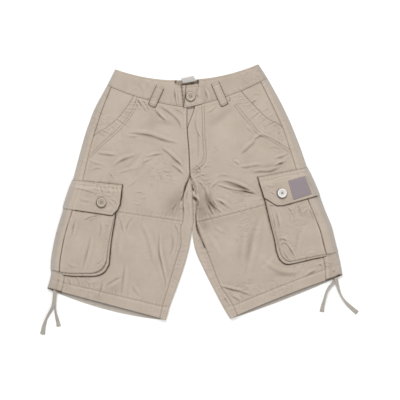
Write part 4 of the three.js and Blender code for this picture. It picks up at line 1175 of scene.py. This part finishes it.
def front_skin(side, low, high, along, place, start, end):
    """The height that the sewn edges add to a front."""
    slanted = along < SLANT_END
    reach, depth = np.where(slanted, 23.0, 6.0), np.where(slanted, 0.9, 0.45)
    height = sewn_edge(place - start, 8, 0.5) + pucker(along, place - start, depth, 6.4, reach)
    height += pucker(along, end - place, 0.35, 12, 6)
    height += sewn_edge(end - place, 8, 0.3, 0.9 - 0.5 * smooth((along - CROTCH) / 30))
    height += sewn_edge(along - low, 8, 0.3, 0.9 if low < 1 else 0.5)
    height += pucker(place, along - low, 0.35, 14)
    if high < HEM[side] - 1:
        height += sewn_edge(high - along, 8, 0.5, 0.5) + pucker(place, high - along, 0.35, 11)
    else:
        height -= 0.5 * bell(high - along - HEM_TURN, 1.2)
        height += pucker(place, np.abs(high - along - HEM_TURN), 0.4, 12, 7)
        height -= 0.8 * bell(high - along, 1.4)
    return height


def front_edges(side, along):
    """The places of a front's outer and inner edge."""
    return (level(side, "front", along) + SEAM / 2,
            width_at(side, along) - level(side, "inset", along) - SEAM / 2)


for part, low_end, high_end in (("upper", None, KNEE), ("lower", KNEE, HEM)):
    for side in SIDES:
        low = SEAM / 2 if low_end is None else low_end[side] + SEAM / 2
        high = high_end[side] - (SEAM / 2 if part == "upper" else 0)
        along = spread(low, high)[:, None]
        start, end = front_edges(side, along)
        place = spread(start[:, 0], end[:, 0])
        add = front_skin(side, low, high, along, place, start, end)
        grid = [on_top(side, along, place, out) for out in (0.0, -CLOTH)]
        for points in grid:
            points[..., 2] += add
        spot_x, spot_y = plan(side, along, place)
        # Painted shade lies in the seams and creases and in the gaps round loops, flaps and pockets; bold is
        # how deep it is in the inner seam.
        bold = 0.95 - {"left": 0.78, "right": 0.7}[side] * smooth((along - CROTCH) / 22)
        tones = wear_and_shade_of(grid[0]) * 0.6 + tone_at(side, along, place) + gap_tone(side, spot_x, spot_y)
        slant, knee, seam = {"left": (0.3, 0.16, 0.2), "right": (0.5, 0.24, 0.36)}[side]
        seam = seam * (0.7 + 0.3 * np.sin(along / 5.0 + np.sin(along / 17.0)))
        tones = tones + seam_tone(place - start, np.where(along < SLANT_END, slant, seam), 1.0)
        tones = tones + seam_tone(end - place, bold, 1.2)
        tones = tones + seam_tone(along - low, 0.3 if part == "upper" else knee)
        tones = tones + seam_tone(high - along, knee if part == "upper" else 0.75)
        size = ((0.30, 0.29), 0.078) if part == "upper" else ((0.27, 0.235), 0.055)
        piece = cloth_piece(f"front_{part}_{side}", *grid, tones, joined(place, along), *size)
        down = np.linspace(low + 3, high - 3, 120)
        outer_edge, inner_edge = front_edges(side, down)
        rows = [in_plan(side, down, outer_edge + gap) for gap in EDGE_ROWS]
        if part == "upper":
            across = np.linspace(outer_edge[-1] + 3, inner_edge[-1] - 3, 90)
            rows += [in_plan(side, high - gap, across) for gap in EDGE_ROWS]
            rows += ROW_LINES[side]
            seat = down > CROTCH
            rows.append(in_plan(side, down[seat], inner_edge[seat] - EDGE_ROWS[0]))
        else:
            across = np.linspace(outer_edge[-1] + 2, inner_edge[-1] - 1, 90)
            rows.append(in_plan(side, high - HEM_TURN, across))
            rows.append(in_plan(side, down, inner_edge - EDGE_ROWS[0]))
        sew(f"front_{part}_{side}_stitches", piece, rows, len(rows))


# ---- Waistband ----
# Two doubled halves meet at the centre back and close over the fly, the right end on top. The
# upper edge dips at the fly, where the inside of the back shows.
BUTTONS = {"left": (-223, -25), "right": (209, -2.6), "fly": (-9.7, 229)}
BUTTON_RADIUS = 10.8
BAND_CLOTH = 2.0
BAND_DIP, BAND_END, BAND_NOTCH = 8, {"left": 11, "right": 9}, {"left": 24, "right": 26}
BAND_CLIMB, BAND_CLIMB_WIDE, BAND_ROLL = 46, 20, 0.9
BAND_ROWS = (3.0, 41.0)
BAND_SHARES = np.concatenate([[0, 0.02, 0.045, 0.07, 0.1], np.linspace(0.14, 0.86, 15),
                              [0.9, 0.93, 0.955, 0.98, 1]])[:, None]


def band_raise(side, along, place):
    if side == "left":
        return 0 * place
    return (BAND_CLOTH + SEAM) * smooth((place - width_at(side, along) + BAND_CLIMB) / BAND_CLIMB_WIDE)


def button_shade(x, y, button, below):
    """The ring of shade that a button casts on the cloth, a little to the left and below it."""
    return bell(np.hypot(x - button[0] + 1, y - button[1] + below) - BUTTON_RADIUS, 1.5)


for side in SIDES:
    back_along = WAIST_TOP + (-SEAM / 2 - WAIST_TOP) * BAND_SHARES
    back_width = width_at(side, back_along)
    place = spread((0 * back_width + EDGE)[:, 0], (back_width + BAND_END[side])[:, 0])[:, ::-1]
    notch = back_width - BAND_NOTCH[side]
    top = WAIST_TOP + BAND_DIP * smooth((place - notch) / 4)
    along = top + (-SEAM / 2 - top) * BAND_SHARES
    raised = band_raise(side, back_along, place)
    depth = along - top
    hem = 0.35 * (bell(depth - 3, 1.1) + bell(-along - 3, 1.1))
    rounded = 0.6 * bell(depth, 1.2) + 0.6 * bell(along, 1.2)

    def band(out):
        front = on_top(side, along, place, out)
        front[..., 2] += raised - hem - rounded + pucker(place, -along, 0.35, 15, 9)
        roll = on_roll(side, back_along, EDGE, -1, HALF_TURN[:, 1:], out * BAND_ROLL)
        back_place = EDGE + (back_width - SEAM / 2 - EDGE) * np.linspace(0, 1, 50)[None, 1:]
        return np.concatenate([front, roll, on_under(side, back_along, back_place, out)], axis=1)

    grid = [band(0.0), band(-BAND_CLOTH)]
    tones = wear_and_shade_of(grid[0]) * 0.6
    shown = place.shape[1]
    tones += relief(LEG_LINES, grid[0][..., 0], grid[0][..., 1])[1]
    x, y = grid[0][:, :shown, 0], grid[0][:, :shown, 1]
    # Painted shade lies in the seams, round the loops, beside the right end where it lies over the left, and
    # round the fly button.
    tones[:, :shown] += seam_tone(-along, 0.3) + seam_tone(depth, 0.15)
    tones[:, :shown] += gap_tone(side, x, y, flap=False, bag=False)
    tones[:, :shown] += seam_tone(place[:, :1] - place, 0.9, 1.4)
    if side == "left":
        fly = sheet_line([(181.4, 85), (182.6, 95), (183.8, 107.6)], 5)
        tones[:, :shown] += line_tone(x, y, fly, 2.2, 0.9)
    tones[:, :shown] -= (0.8 * button_shade(x, y, BUTTONS["fly"], 1.2)
                         + {"left": 0.04, "right": 0.08}[side])
    # The inside of the back lies in shade beside the fly.
    tones[:, shown:] -= 0.85 * np.exp(-(((grid[0][:, shown:, 0] + 19) / 26) ** 4))
    piece = cloth_piece(f"waistband_{side}", *grid, tones, weave_over(grid[0], back_along),
                        (0.39, 0.047), 0.0165)
    rows, column, last = [], np.arange(1, shown - 1), len(BAND_SHARES) - 1
    for gap in BAND_ROWS:
        row = np.array([np.interp(gap, depth[:, k], np.arange(last + 1)) for k in column])
        base = np.minimum(row.astype(int), last - 1)
        part = (row - base)[:, None]
        rows.append(grid[0][base, column, :2] * (1 - part) + grid[0][base + 1, column, :2] * part)
    sew(f"waistband_{side}_stitches", piece, rows, 3)


# ---- Belt loops ----
# Two loops of twill folded in three show, sewn on across the waistband and a little past its
# seam, with two rows of stitches along each edge and a bar of them at each end.
def locate(side, x, y):
    """The places on a leg that lie under points of the plan."""
    low = np.full(np.shape(x), WAIST_TOP - 20.0)
    high = np.full(np.shape(x), float(HEM[side]))
    for _ in range(26):
        along = (low + high) / 2
        outer_x, outer_y, across_x, across_y, turn, _ = section(side, along)
        place = (x - outer_x) * across_x + (y - outer_y) * across_y
        spot_x, spot_y = plan(side, along, place)
        beyond = (x - spot_x) * across_y * turn - (y - spot_y) * across_x * turn > 0
        low, high = np.where(beyond, along, low), np.where(beyond, high, along)
    return along, place


def trim_grid(corners, count_x, count_y, rounded=0.0):
    """Points of the plan over a four-cornered trim, row by row from its upper edge. rounded draws
    the lower corners up by that share of its length."""
    corners = np.array(corners, float)
    across = np.linspace(0, 1, count_x)[None, :, None]
    down = np.linspace(0, 1, count_y)[:, None, None]
    upper = corners[0] + (corners[1] - corners[0]) * across
    lower = corners[3] + (corners[2] - corners[3]) * across
    spot = upper + (lower - upper) * down * (1 - rounded * (2 * across - 1) ** 4)
    return spot[..., 0], spot[..., 1], *np.broadcast_arrays(across[..., 0], down[..., 0])


LOOP_SEAT, LOOP_CLOTH = 0.9, 1.6
LOOP_ROWS, LOOP_BARS = (0.14, 0.3, 0.7, 0.86), (0.06, 0.93)
for side in SIDES:
    corners = loop_corners(side)
    x, y, across, down = trim_grid(corners, 17, 34, 0.045)
    along, place = locate(side, x, y)
    length = np.linalg.norm(corners[3] - corners[0])
    edge = np.minimum(across, 1 - across) * LOOP_WIDE
    end = np.minimum(down, 1 - down) * length
    arch = 0.5 * np.sin(np.pi * down) ** 0.5 - 0.35 * bell(edge - 3, 1.0)
    arch = arch - 0.5 * bell(edge, 1.2) - 0.5 * bell(end - 3.5, 1.2)
    base = on_top(side, along, place, LOOP_SEAT)
    grid = [base + np.array([0, 0, LOOP_CLOTH]), base.copy()]
    grid[0][..., 2] += arch
    grid[1][..., 2] += arch * 0.6
    # Painted shade lies along the loop's edges and at its lower end.
    tones = wear_and_shade_of(grid[0]) + seam_tone(edge, 0.6) + seam_tone((1 - down) * length, 0.6)
    weave = joined(across * LOOP_WIDE, down * length)
    wide, long = corners[1] - corners[0], corners[3] - corners[0]
    rows = [[corners[0] + wide * share + long * far for far in np.linspace(0.04, 0.96, 30)]
            for share in LOOP_ROWS]
    # Each end is held by a bar of close zigzag stitches.
    rows += [[corners[0] + wide * share + long * (far + 0.016 * (-1) ** k)
              for k, share in enumerate(np.linspace(0.1, 0.9, 16))] for far in LOOP_BARS]
    piece = cloth_piece(f"belt_loop_{side}", *grid, tones, weave,
                        (LOOP_WIDE / 1000, length / 1000), None)
    sew(f"belt_loop_{side}_stitches", piece, rows, 5, SHORT_PITCH)


# ---- Cargo pockets: bellows strips ----
# A folded strip runs down the front edge of each cargo pocket and along its bottom. It lets the
# pocket swell, and shows as a 7 mm step round the pocket's face.
GUSSET_SHOWS, GUSSET_WIDE, GUSSET_SEAT = 7, 15, 0.8
PLEAT = {"left": 21, "right": 28}
PLEAT_STEP, BELLOWS_RAMP = 0.9, 22
GUSSET_DEPTHS = np.array([0, 0.5, 1.1, 2, 3.2, 4.5, 6, 7.5, 9, 11, 13, GUSSET_WIDE])[None, :]
GUSSET_POINTS = 110
for side in SIDES:
    pocket = BAGS[side]
    down = np.linspace(0, 1, 60)[:-1]
    along = pocket.top + (lower_edge(pocket, 1.0, True) - pocket.top) * down
    rim = [np.stack([along, front_edge(pocket, along)], axis=1)]
    share = np.concatenate([np.linspace(1, 0.9, 14), np.linspace(0.89, 0.2, 50)])
    along = lower_edge(pocket, share, True)
    rim.append(np.stack([along, front_edge(pocket, along) * share], axis=1))
    rim = np.concatenate(rim)
    run = run_of(rim)
    even = np.linspace(0, run[-1], GUSSET_POINTS)
    rim = np.stack([np.interp(even, run, rim[:, k]) for k in (0, 1)], axis=1)
    way = np.gradient(rim, axis=0)
    for _ in range(4):
        way[1:-1] = (way[:-2] + way[1:-1] + way[2:]) / 3
    way = unit(way)
    along = rim[:, :1] + way[:, 1:] * GUSSET_DEPTHS
    place = rim[:, 1:] - way[:, :1] * GUSSET_DEPTHS
    fold = 0.9 * np.sin(np.clip(GUSSET_DEPTHS / 8, 0, 1) * np.pi) ** 0.7 * 0.6
    fold = fold - 0.5 * bell(GUSSET_DEPTHS, 0.9) + pucker(even[:, None], GUSSET_DEPTHS, 0.35, 14, 8)
    grid = [on_top(side, along, place, GUSSET_SEAT + out) for out in (CLOTH, 0.0)]
    grid[0][..., 2] += fold
    # Painted shade lies as dark lines along the face's edge and the strip's own, and darkens the
    # strip under the face.
    inner_line = {"left": 0.5, "right": 0.16}[side]
    tones = wear_and_shade_of(grid[0]) * 0.6 - 0.03 - inner_line * bell(GUSSET_DEPTHS - GUSSET_SHOWS, 1.1)
    tones = tones - 1.25 * bell(GUSSET_DEPTHS, 1.1) - 0.3 * smooth((GUSSET_DEPTHS - 8) / 2)
    cloth_piece(f"cargo_gusset_{side}", *grid, tones, joined(GUSSET_DEPTHS, even[:, None]),
                (GUSSET_WIDE / 1000, 0.29), None)


# ---- Cargo pockets: faces ----
# Each pocket's face is a patch of twill that starts under the leg, comes round its side and runs
# in over the front, with a pleat pressed near the side.
def face_offset(side, place):
    bellows = (GUSSET_SEAT + CLOTH) * smooth((place - EDGE) / BELLOWS_RAMP)
    return SEAT + bellows + PLEAT_STEP * smooth((place - PLEAT[side]) / 3)


def flap_offset(side, along, place):
    seated = smooth((along - FLAPS[side].top - 2) / (BAGS[side].top - FLAPS[side].top - 4))
    return SEAT + (face_offset(side, place) - SEAT + LAYER) * seated


def round_side(side, pocket, short_by, offset, extra, out, rounded):
    """A sheet that starts under the leg, comes round its side and runs in over its front. extra
    gives the height that its own folds and edges add, from its places and edge distances."""
    bottom = lower_edge(pocket, 0.0, rounded) - short_by
    down = ((spread(pocket.top, bottom) - pocket.top) / (bottom - pocket.top))[:, None]
    side_along = pocket.top + (bottom - pocket.top) * down
    under = on_under(side, side_along, np.linspace(REAR_REACH, EDGE, 14)[None, :-1],
                     offset(side_along, 0.0) + out)
    roll = on_roll(side, side_along, EDGE, -1, -HALF_TURN, offset(side_along, 0.0) + out)
    widest = front_edge(pocket, bottom)
    share = (spread(EDGE, widest)[len(NEAR_EDGE) + 1:] - EDGE) / (widest - EDGE)
    share = np.concatenate([np.linspace(0.02, share[0], 5)[:-1], share])[None, :]
    along = pocket.top + (lower_edge(pocket, share, rounded) - short_by - pocket.top) * down
    reach = front_edge(pocket, along) - short_by * down - EDGE
    place = EDGE + reach * share
    to_front = reach * (1 - share)
    to_bottom = (lower_edge(pocket, share, rounded) - short_by - pocket.top) * (1 - down)
    top = on_top(side, along, place, offset(along, place) + out)
    top[..., 2] += extra(along, place, to_front, to_bottom)
    grid = np.concatenate([under, roll, top], axis=1)
    return (grid, weave_over(grid, side_along), place, to_front, to_bottom,
            under.shape[1] + roll.shape[1])


POCKET_CREASES = [
    ([(91.5, 235), (88.7, 248), (85, 262), (83, 270)], 6, 1.1, 0.22),
    ([(83, 220.6), (90, 217.6), (100.4, 214.8)], 4, 0.9, 0.4),
    ([(88, 221.4), (93, 219), (97.6, 218.4)], 3, 0.6, 0.25),
    ([(104.6, 224.4), (107.4, 225.4), (110, 224.6)], 2.5, 0.5, 0.3),
    ([(76.5, 218), (74.4, 226), (72, 238)], 4, 0.9, 0.35),
    ([(100.5, 221), (101.5, 228), (99.6, 238)], 6, 0.7, 0.12),
    ([(66.5, 262), (72, 266.4), (79, 267.6)], 5, 0.6, 0.14),
    ([(105, 256), (100.5, 262), (95, 265.4)], 4, 0.7, 0.2),
    ([(276, 210.5), (277.6, 219), (280.2, 229)], 5, 1.1, 0.32),
    ([(277.6, 241.2), (279.6, 239.2), (282.4, 238.6), (287.4, 241.6)], 3, 0.9, 0.6),
    ([(279.6, 246.4), (281.6, 243.6), (285.2, 242.9), (290.2, 249.2), (295.8, 258.9)], 3, 1.0, 0.6),
    ([(282.6, 249.6), (286.4, 256.4), (290.8, 261.6)], 3, 0.8, 0.4),
    ([(270.4, 206), (272.6, 216), (275.2, 227), (277.4, 237)], 2.5, 0.5, 0.35),
    ([(303, 225), (297.5, 236), (295.5, 249)], 8, 0.9, 0.08),
    ([(266.5, 203), (271, 205.6), (276, 205)], 3, 0.7, 0.4),
    ([(286.5, 206.5), (290, 210), (292.6, 214.8)], 3, 0.8, 0.35),
    ([(297, 204.4), (299.4, 208.6), (300.2, 213.5)], 3, 0.7, 0.3),
    ([(308.2, 207.6), (310.8, 212.4), (313.9, 221.4)], 3.5, 0.9, 0.45),
    ([(302.2, 214), (305.4, 211), (308, 207.8)], 3, 0.6, 0.3),
    ([(306, 256), (311, 253.6), (317, 254.4)], 4, 0.6, 0.2),
]
POCKET_LINES = crease_lines(POCKET_CREASES)
for side in SIDES:
    pleat_at, rolled = PLEAT[side], {"left": 0.9, "right": 0.45}[side]

    def bag_relief(along, place, to_front, to_bottom):
        height = relief(POCKET_LINES, *plan(side, along, place))[0]
        height += sewn_edge(to_front, 8, 0.4, rolled) + sewn_edge(to_bottom, 8, 0.4, rolled)
        height += pucker(along, to_front, 0.3, 12) + pucker(place, to_bottom, 0.3, 13)
        return height - 0.5 * bell(place - pleat_at, 1.6)

    grids = [round_side(side, BAGS[side], GUSSET_SHOWS, lambda along, place: face_offset(side, place),
                        bag_relief, out, True) for out in (CLOTH, 0.0)]
    outer, weave, place, to_front, to_bottom, skip = grids[0]
    top = outer[:, skip:]
    tones = wear_and_shade_of(outer) * 0.6
    tones[:, skip:] += relief(POCKET_LINES, top[..., 0], top[..., 1])[1]
    # Painted shade lies along the face's sewn edges and under the flap's lower edge and seam.
    tones[:, skip:] += seam_tone(np.minimum(to_front, to_bottom), {"left": 0.35, "right": 0.08}[side])
    tones[:, skip:] += gap_tone(side, top[..., 0], top[..., 1], loops=False, bag=False)
    # The pleat's own shade breaks off and comes back along its length.
    shade_strength = 0.3 + 0.35 * np.sin(top[..., 1] / 11.0) ** 2 + 0.45 * smooth((150 - to_bottom) / 150)
    tones[:, skip:] -= shade_strength * bell(place - pleat_at, 1.1)
    piece = cloth_piece(f"cargo_pocket_{side}", outer, grids[1][0], tones, weave, (0.195, 0.225), 0.041)
    rows = [edge_line(top, to_front, to_bottom, gap) for gap in EDGE_ROWS]
    sew(f"cargo_pocket_{side}_stitches", piece, rows, 7)


# ---- Cargo pockets: flaps ----
# A doubled flap is sewn on along its upper edge and folded down over the pocket's mouth. Its
# lower front corner is cut off, and it buttons near that corner.
FLAP_CREASES = [
    ([(74, 188), (82, 189.6), (90, 191.6), (98.6, 194)], 3.5, 0.8, 0.38),
    ([(92, 182.4), (98, 184.6), (104, 185.2)], 2.5, 0.5, 0.22),
    ([(104.4, 186), (107.4, 190), (111.6, 193)], 2.5, 0.6, 0.28),
    ([(109.6, 185.6), (113.6, 187.6), (117, 191.4)], 2.5, 0.6, 0.28),
    ([(115, 186.4), (117.4, 188.8), (118.8, 193)], 2.5, 0.5, 0.25),
    ([(107.6, 199.6), (111, 203.4), (113.6, 206.6)], 2.5, 0.5, 0.25),
    ([(96, 195.4), (100.4, 196.6), (105.6, 195.8)], 2.5, 0.5, 0.3),
    ([(101, 185), (102, 189), (103.6, 194.4)], 3, 0.8, 0.42),
    ([(108, 187.5), (110, 190.5), (109.6, 194)], 3, 0.6, 0.25),
    ([(113.5, 188.2), (114.6, 191.6), (113.4, 195.4)], 3, 0.6, 0.25),
    ([(104, 194.6), (109, 196.4), (114, 195.4)], 3, 0.5, 0.18),
    ([(111.5, 199.4), (115.5, 201.5), (117, 205)], 3, 0.6, 0.25),
    ([(80, 199), (86, 201.4), (92, 201)], 5, 0.6, 0.12),
    ([(271.5, 181.6), (282, 179.4), (294.7, 176.4)], 4, 0.7, 0.22),
    ([(266, 185), (270, 187), (275, 186.2)], 4, 0.7, 0.22),
    ([(268.5, 192), (272.6, 193.4), (275.6, 196.6)], 3, 0.7, 0.3),
    ([(306, 176), (309.5, 181), (311.5, 188)], 4, 0.6, 0.15),
]
FLAP_LINES = crease_lines(FLAP_CREASES)
FLAP_ROWS, FLAP_TOP_ROWS = (2.2, 7), (2.4, 9)
for side in SIDES:
    def flap_relief(along, place, to_front, to_bottom):
        below = along - FLAPS[side].top
        height = relief(FLAP_LINES, *plan(side, along, place))[0]
        height += sewn_edge(to_front, 7, 0.3) + sewn_edge(to_bottom, 7, 0.3)
        height += sewn_edge(below, 9, 0.4)
        return height + pucker(place, below, 0.4, 11) + pucker(place, to_bottom, 0.25, 14)

    grids = [round_side(side, FLAPS[side], 0, lambda along, place: flap_offset(side, along, place),
                        flap_relief, out, False) for out in (CLOTH, 0.0)]
    outer, weave, place, to_front, to_bottom, skip = grids[0]
    top = outer[:, skip:]
    tones = wear_and_shade_of(outer) * 0.6
    tones[:, skip:] += relief(FLAP_LINES, top[..., 0], top[..., 1])[1]
    # Painted shade darkens the flap's front and lower edges and its top rows.
    lower = {"left": 0.95 * (1 - smooth((30 - place) / 9)), "right": 0.95}[side]
    tones[:, skip:] += np.minimum(seam_tone(to_front, 0.95), seam_tone(to_bottom, lower))
    tones[:2] -= 0.4
    tones[:, skip:] -= 0.9 * button_shade(top[..., 0], top[..., 1], BUTTONS[side], 1.6)
    piece = cloth_piece(f"cargo_flap_{side}", outer, grids[1][0], tones, weave, (0.18, 0.083), 0.0143)
    rows = [edge_line(top, to_front, to_bottom, gap) for gap in FLAP_ROWS]
    steps = np.diff(top[:, :, :2], axis=0, prepend=top[:1, :, :2])
    run_down = np.linalg.norm(steps, axis=2).cumsum(axis=0)
    rows += [[[np.interp(gap, run_down[:, column], top[:, column, axis]) for axis in (0, 1)]
              for column in range(top.shape[1])] for gap in FLAP_TOP_ROWS]
    sew(f"cargo_flap_{side}_stitches", piece, rows, 9)


# ---- Buttons ----
# Four-hole buttons of moulded polyester, 21.6 mm across, with a raised rim round a dished middle.
# They are sewn on with two crossed loops of thread. The right flap's button is white.
def button_plastic(name, pale, deep):
    # Moulded polyester: a smooth satin gloss, with faint cloudy swirls in the colour. Where the tone
    # is below 0, painted shade darkens it: in the holes, the dished middle and inside the rim.
    material, tree, shader = new_material(name, 0.38, Coat_Weight=0.25)
    cloud = texture(tree, "Noise", object_places(tree), 140.0, Detail=3.0, Distortion=1.5)
    hollow = remap(tree, attribute(tree, "tone"), 0.0, -1.0, 0.0, 1.0)
    finish_material(tree, shader, blend(tree, hollow, blend(tree, cloud, deep, pale), "#3a332c"),
                    bump(tree, cloud, 0.00008, 0.4))
    return material


beige_plastic = button_plastic("beige_polyester", "#b5aa9c", "#a5998a")
white_plastic = button_plastic("white_polyester", "#e6e5e3", "#d2d0cd")
HOLE_AT, HOLE_RADIUS, HOLE_TURN, HOLE_DEPTH = 2.3, 0.95, 0.3, 1.5
# Heights over the button's upper face and its underside, from the middle out and back in.
FACE_AT = [0, 5.0, 6.6, 7.6, 9.2, 10.2, 10.65, BUTTON_RADIUS]
FACE_HEIGHT = [1.75, 1.8, 1.95, 2.85, 3.0, 2.85, 2.4, 1.9]
UNDERSIDE_AT, UNDERSIDE_HEIGHT = [BUTTON_RADIUS, 10.5, 9.6, 6, 0.3], [1.1, 0.5, 0.1, 0, 0]
BUTTON_AROUND = 72
THREAD_POINTS, THREAD_AROUND, THREAD_RADIUS, THREAD_APART = 9, 8, 0.34, 0.35


def make_button(name, side, x, y, lift, material, slot):
    """A button at x, y of the plan, seated on the highest place under it, and its thread."""
    ring = np.linspace(0, 2 * np.pi, 12, endpoint=False)
    along, place = locate(side, x + BUTTON_RADIUS * np.cos(ring), y + BUTTON_RADIUS * np.sin(ring))
    seat = float(np.max(on_top(side, along, place, lift(along, place))[:, 2])) + SEAM
    radius = np.concatenate([np.linspace(0.3, 4.4, 16), np.linspace(4.7, BUTTON_RADIUS, 20)])
    turn = np.linspace(0, 2 * np.pi, BUTTON_AROUND, endpoint=False)
    r = np.concatenate([radius, UNDERSIDE_AT])[:, None]
    z = np.concatenate([np.interp(radius, FACE_AT, FACE_HEIGHT), UNDERSIDE_HEIGHT])[:, None] + 0 * turn
    px, py = r * np.cos(turn), r * np.sin(turn)
    face_rows = len(radius)
    # Painted shade in the dished middle, inside the rim and in the holes.
    shade = 0 * z - 0.28 * bell(r - 6.4, 0.9) - 0.3 * (1 - smooth((r - 3.9) / 1.4))
    for hole in range(4):
        corner = np.pi / 4 + hole * np.pi / 2 + HOLE_TURN
        gap = np.hypot(px[:face_rows] - HOLE_AT * np.cos(corner), py[:face_rows] - HOLE_AT * np.sin(corner))
        sunk = 1 - smooth((gap - HOLE_RADIUS * 0.75) / (HOLE_RADIUS * 0.5))
        z[:face_rows] -= HOLE_DEPTH * sunk
        shade[:face_rows] -= 0.6 * sunk
    points = np.stack([px + x, py + y, z + seat], axis=2).reshape(-1, 3)
    points = np.concatenate([points, [[x, y, seat + FACE_HEIGHT[0]], [x, y, seat]]])
    bands, count = len(r) - 1, BUTTON_AROUND
    last, middle = bands * count, (bands + 1) * count
    faces = [(a, d, c, b) for a, b, c, d in tube_faces(bands, count)]
    faces += [(middle, k, (k + 1) % count) for k in range(count)]
    faces += [(middle + 1, last + (k + 1) % count, last + k) for k in range(count)]
    piece = finish_mesh(f"{name}_disc", points, faces, points[:, :2],
                        np.concatenate([shade.ravel(), [-0.3, 0]]), material)
    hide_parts(name)
    # The sewing thread crosses the middle as two short raised loops.
    points, faces = [], []
    t = np.linspace(-1, 1, THREAD_POINTS)
    around = np.linspace(0, 2 * np.pi, THREAD_AROUND, endpoint=False)[None, :, None]
    for corner in (np.pi / 4 + HOLE_TURN, 3 * np.pi / 4 + HOLE_TURN):
        for off in (-THREAD_APART, THREAD_APART):
            strand = np.stack([x + HOLE_AT * t * np.cos(corner) - off * np.sin(corner),
                               y + HOLE_AT * t * np.sin(corner) + off * np.cos(corner),
                               seat + 2.35 - 1.3 * np.abs(t) ** 4], axis=1)
            heading = strand[-1] - strand[0]
            heading /= np.linalg.norm(heading)
            aside = np.cross([0, 0, 1], heading)
            faces += closed_tube(THREAD_POINTS - 1, THREAD_AROUND,
                                 len(points) * THREAD_POINTS * THREAD_AROUND)
            points.append((strand[:, None] + THREAD_RADIUS * np.cos(around) * aside
                           + THREAD_RADIUS * np.sin(around) * np.array([0, 0, 1.0])).reshape(-1, 3))
    points = np.concatenate(points)
    finish_mesh(f"{name}_thread", points, faces, points[:, :2], np.zeros(len(points)), thread)


for side, plastic, slot in (("left", beige_plastic, "beige_button"),
                            ("right", white_plastic, "white_button")):
    make_button(f"flap_button_{side}", side, *BUTTONS[side],
                lambda along, place: flap_offset(side, along, place) + CLOTH, plastic, slot)
make_button("fly_button", "right", *BUTTONS["fly"],
            lambda along, place: BAND_CLOTH + SEAM + 0 * along, beige_plastic, "beige_button")


# ---- Waist label and flap patch ----
# A blank white woven label is sewn inside the back of the waistband and stands up behind the
# fly. A plain grey patch of close-woven cloth is sewn on the right flap.
def close_weave(name, pale, deep, ribs_per_m):
    # Close satin weave: even, slightly shiny, with fine cross ribs.
    material, tree, shader = new_material(name, 0.6, Sheen_Weight=0.3)
    flat = weave_places(tree)
    rib = texture(tree, "Wave", flat, ribs_per_m, "Y", Distortion=0.6)
    fuzz = texture(tree, "Noise", flat, 400.0, Detail=4.0)
    finish_material(tree, shader, blend(tree, fuzz, deep, pale), bump(tree, rib, 0.0002, 0.6))
    return material


LABEL_WIDE, LABEL_HIGH, LABEL_CLOTH = 29, 13, 1.0
PATCH = [(223.6, 26.4), (263.6, 37.9), (279, -4.1), (236, -18.5)]
PATCH_WIDE, PATCH_HIGH = 42, 45
white_weave = close_weave("white_label_weave", "#b9b6b2", "#a6a19c", 150.0)
x, y, across, down = trim_grid([(-32, 272), (-3, 278), (2, 266), (-28, 261)], 24, 12)
along, place = locate("right", x, y)
base = on_top("right", along, place, BAND_CLOTH + SEAM - BODY)
base[..., 2] += 0.5 * np.sin(np.pi * across) * np.sin(np.pi * down)
cloth_piece("waist_label", base + np.array([0, 0, LABEL_CLOTH]), base, 0 * x,
            joined(across * LABEL_WIDE, down * LABEL_HIGH), (0.03, 0.0133), None, white_weave,
            "label_cloth")

grey_weave = close_weave("grey_patch_weave", "#8e8388", "#7b7175", 170.0)
x, y, across, down = trim_grid(PATCH, 40, 44)
along, place = locate("right", x, y)
base = on_top("right", along, place, flap_offset("right", along, place) + LAYER)
edge = np.minimum(np.minimum(across, 1 - across) * PATCH_WIDE, np.minimum(down, 1 - down) * PATCH_HIGH)
upper = base + np.array([0, 0, CLOTH])
upper[..., 2] += -0.5 * bell(edge, 1.0) - 0.35 * bell(edge - 2.5, 0.9)
piece = cloth_piece("flap_patch", upper, base, 0 * x, joined(across * PATCH_WIDE, down * PATCH_HIGH),
                    (0.043, 0.046), None, grey_weave, "patch_cloth")
middle = np.mean(PATCH, axis=0)
sew("flap_patch_stitches", piece, [(np.array([*PATCH, PATCH[0]]) - middle) * 0.9 + middle], 11,
    SHORT_PITCH)
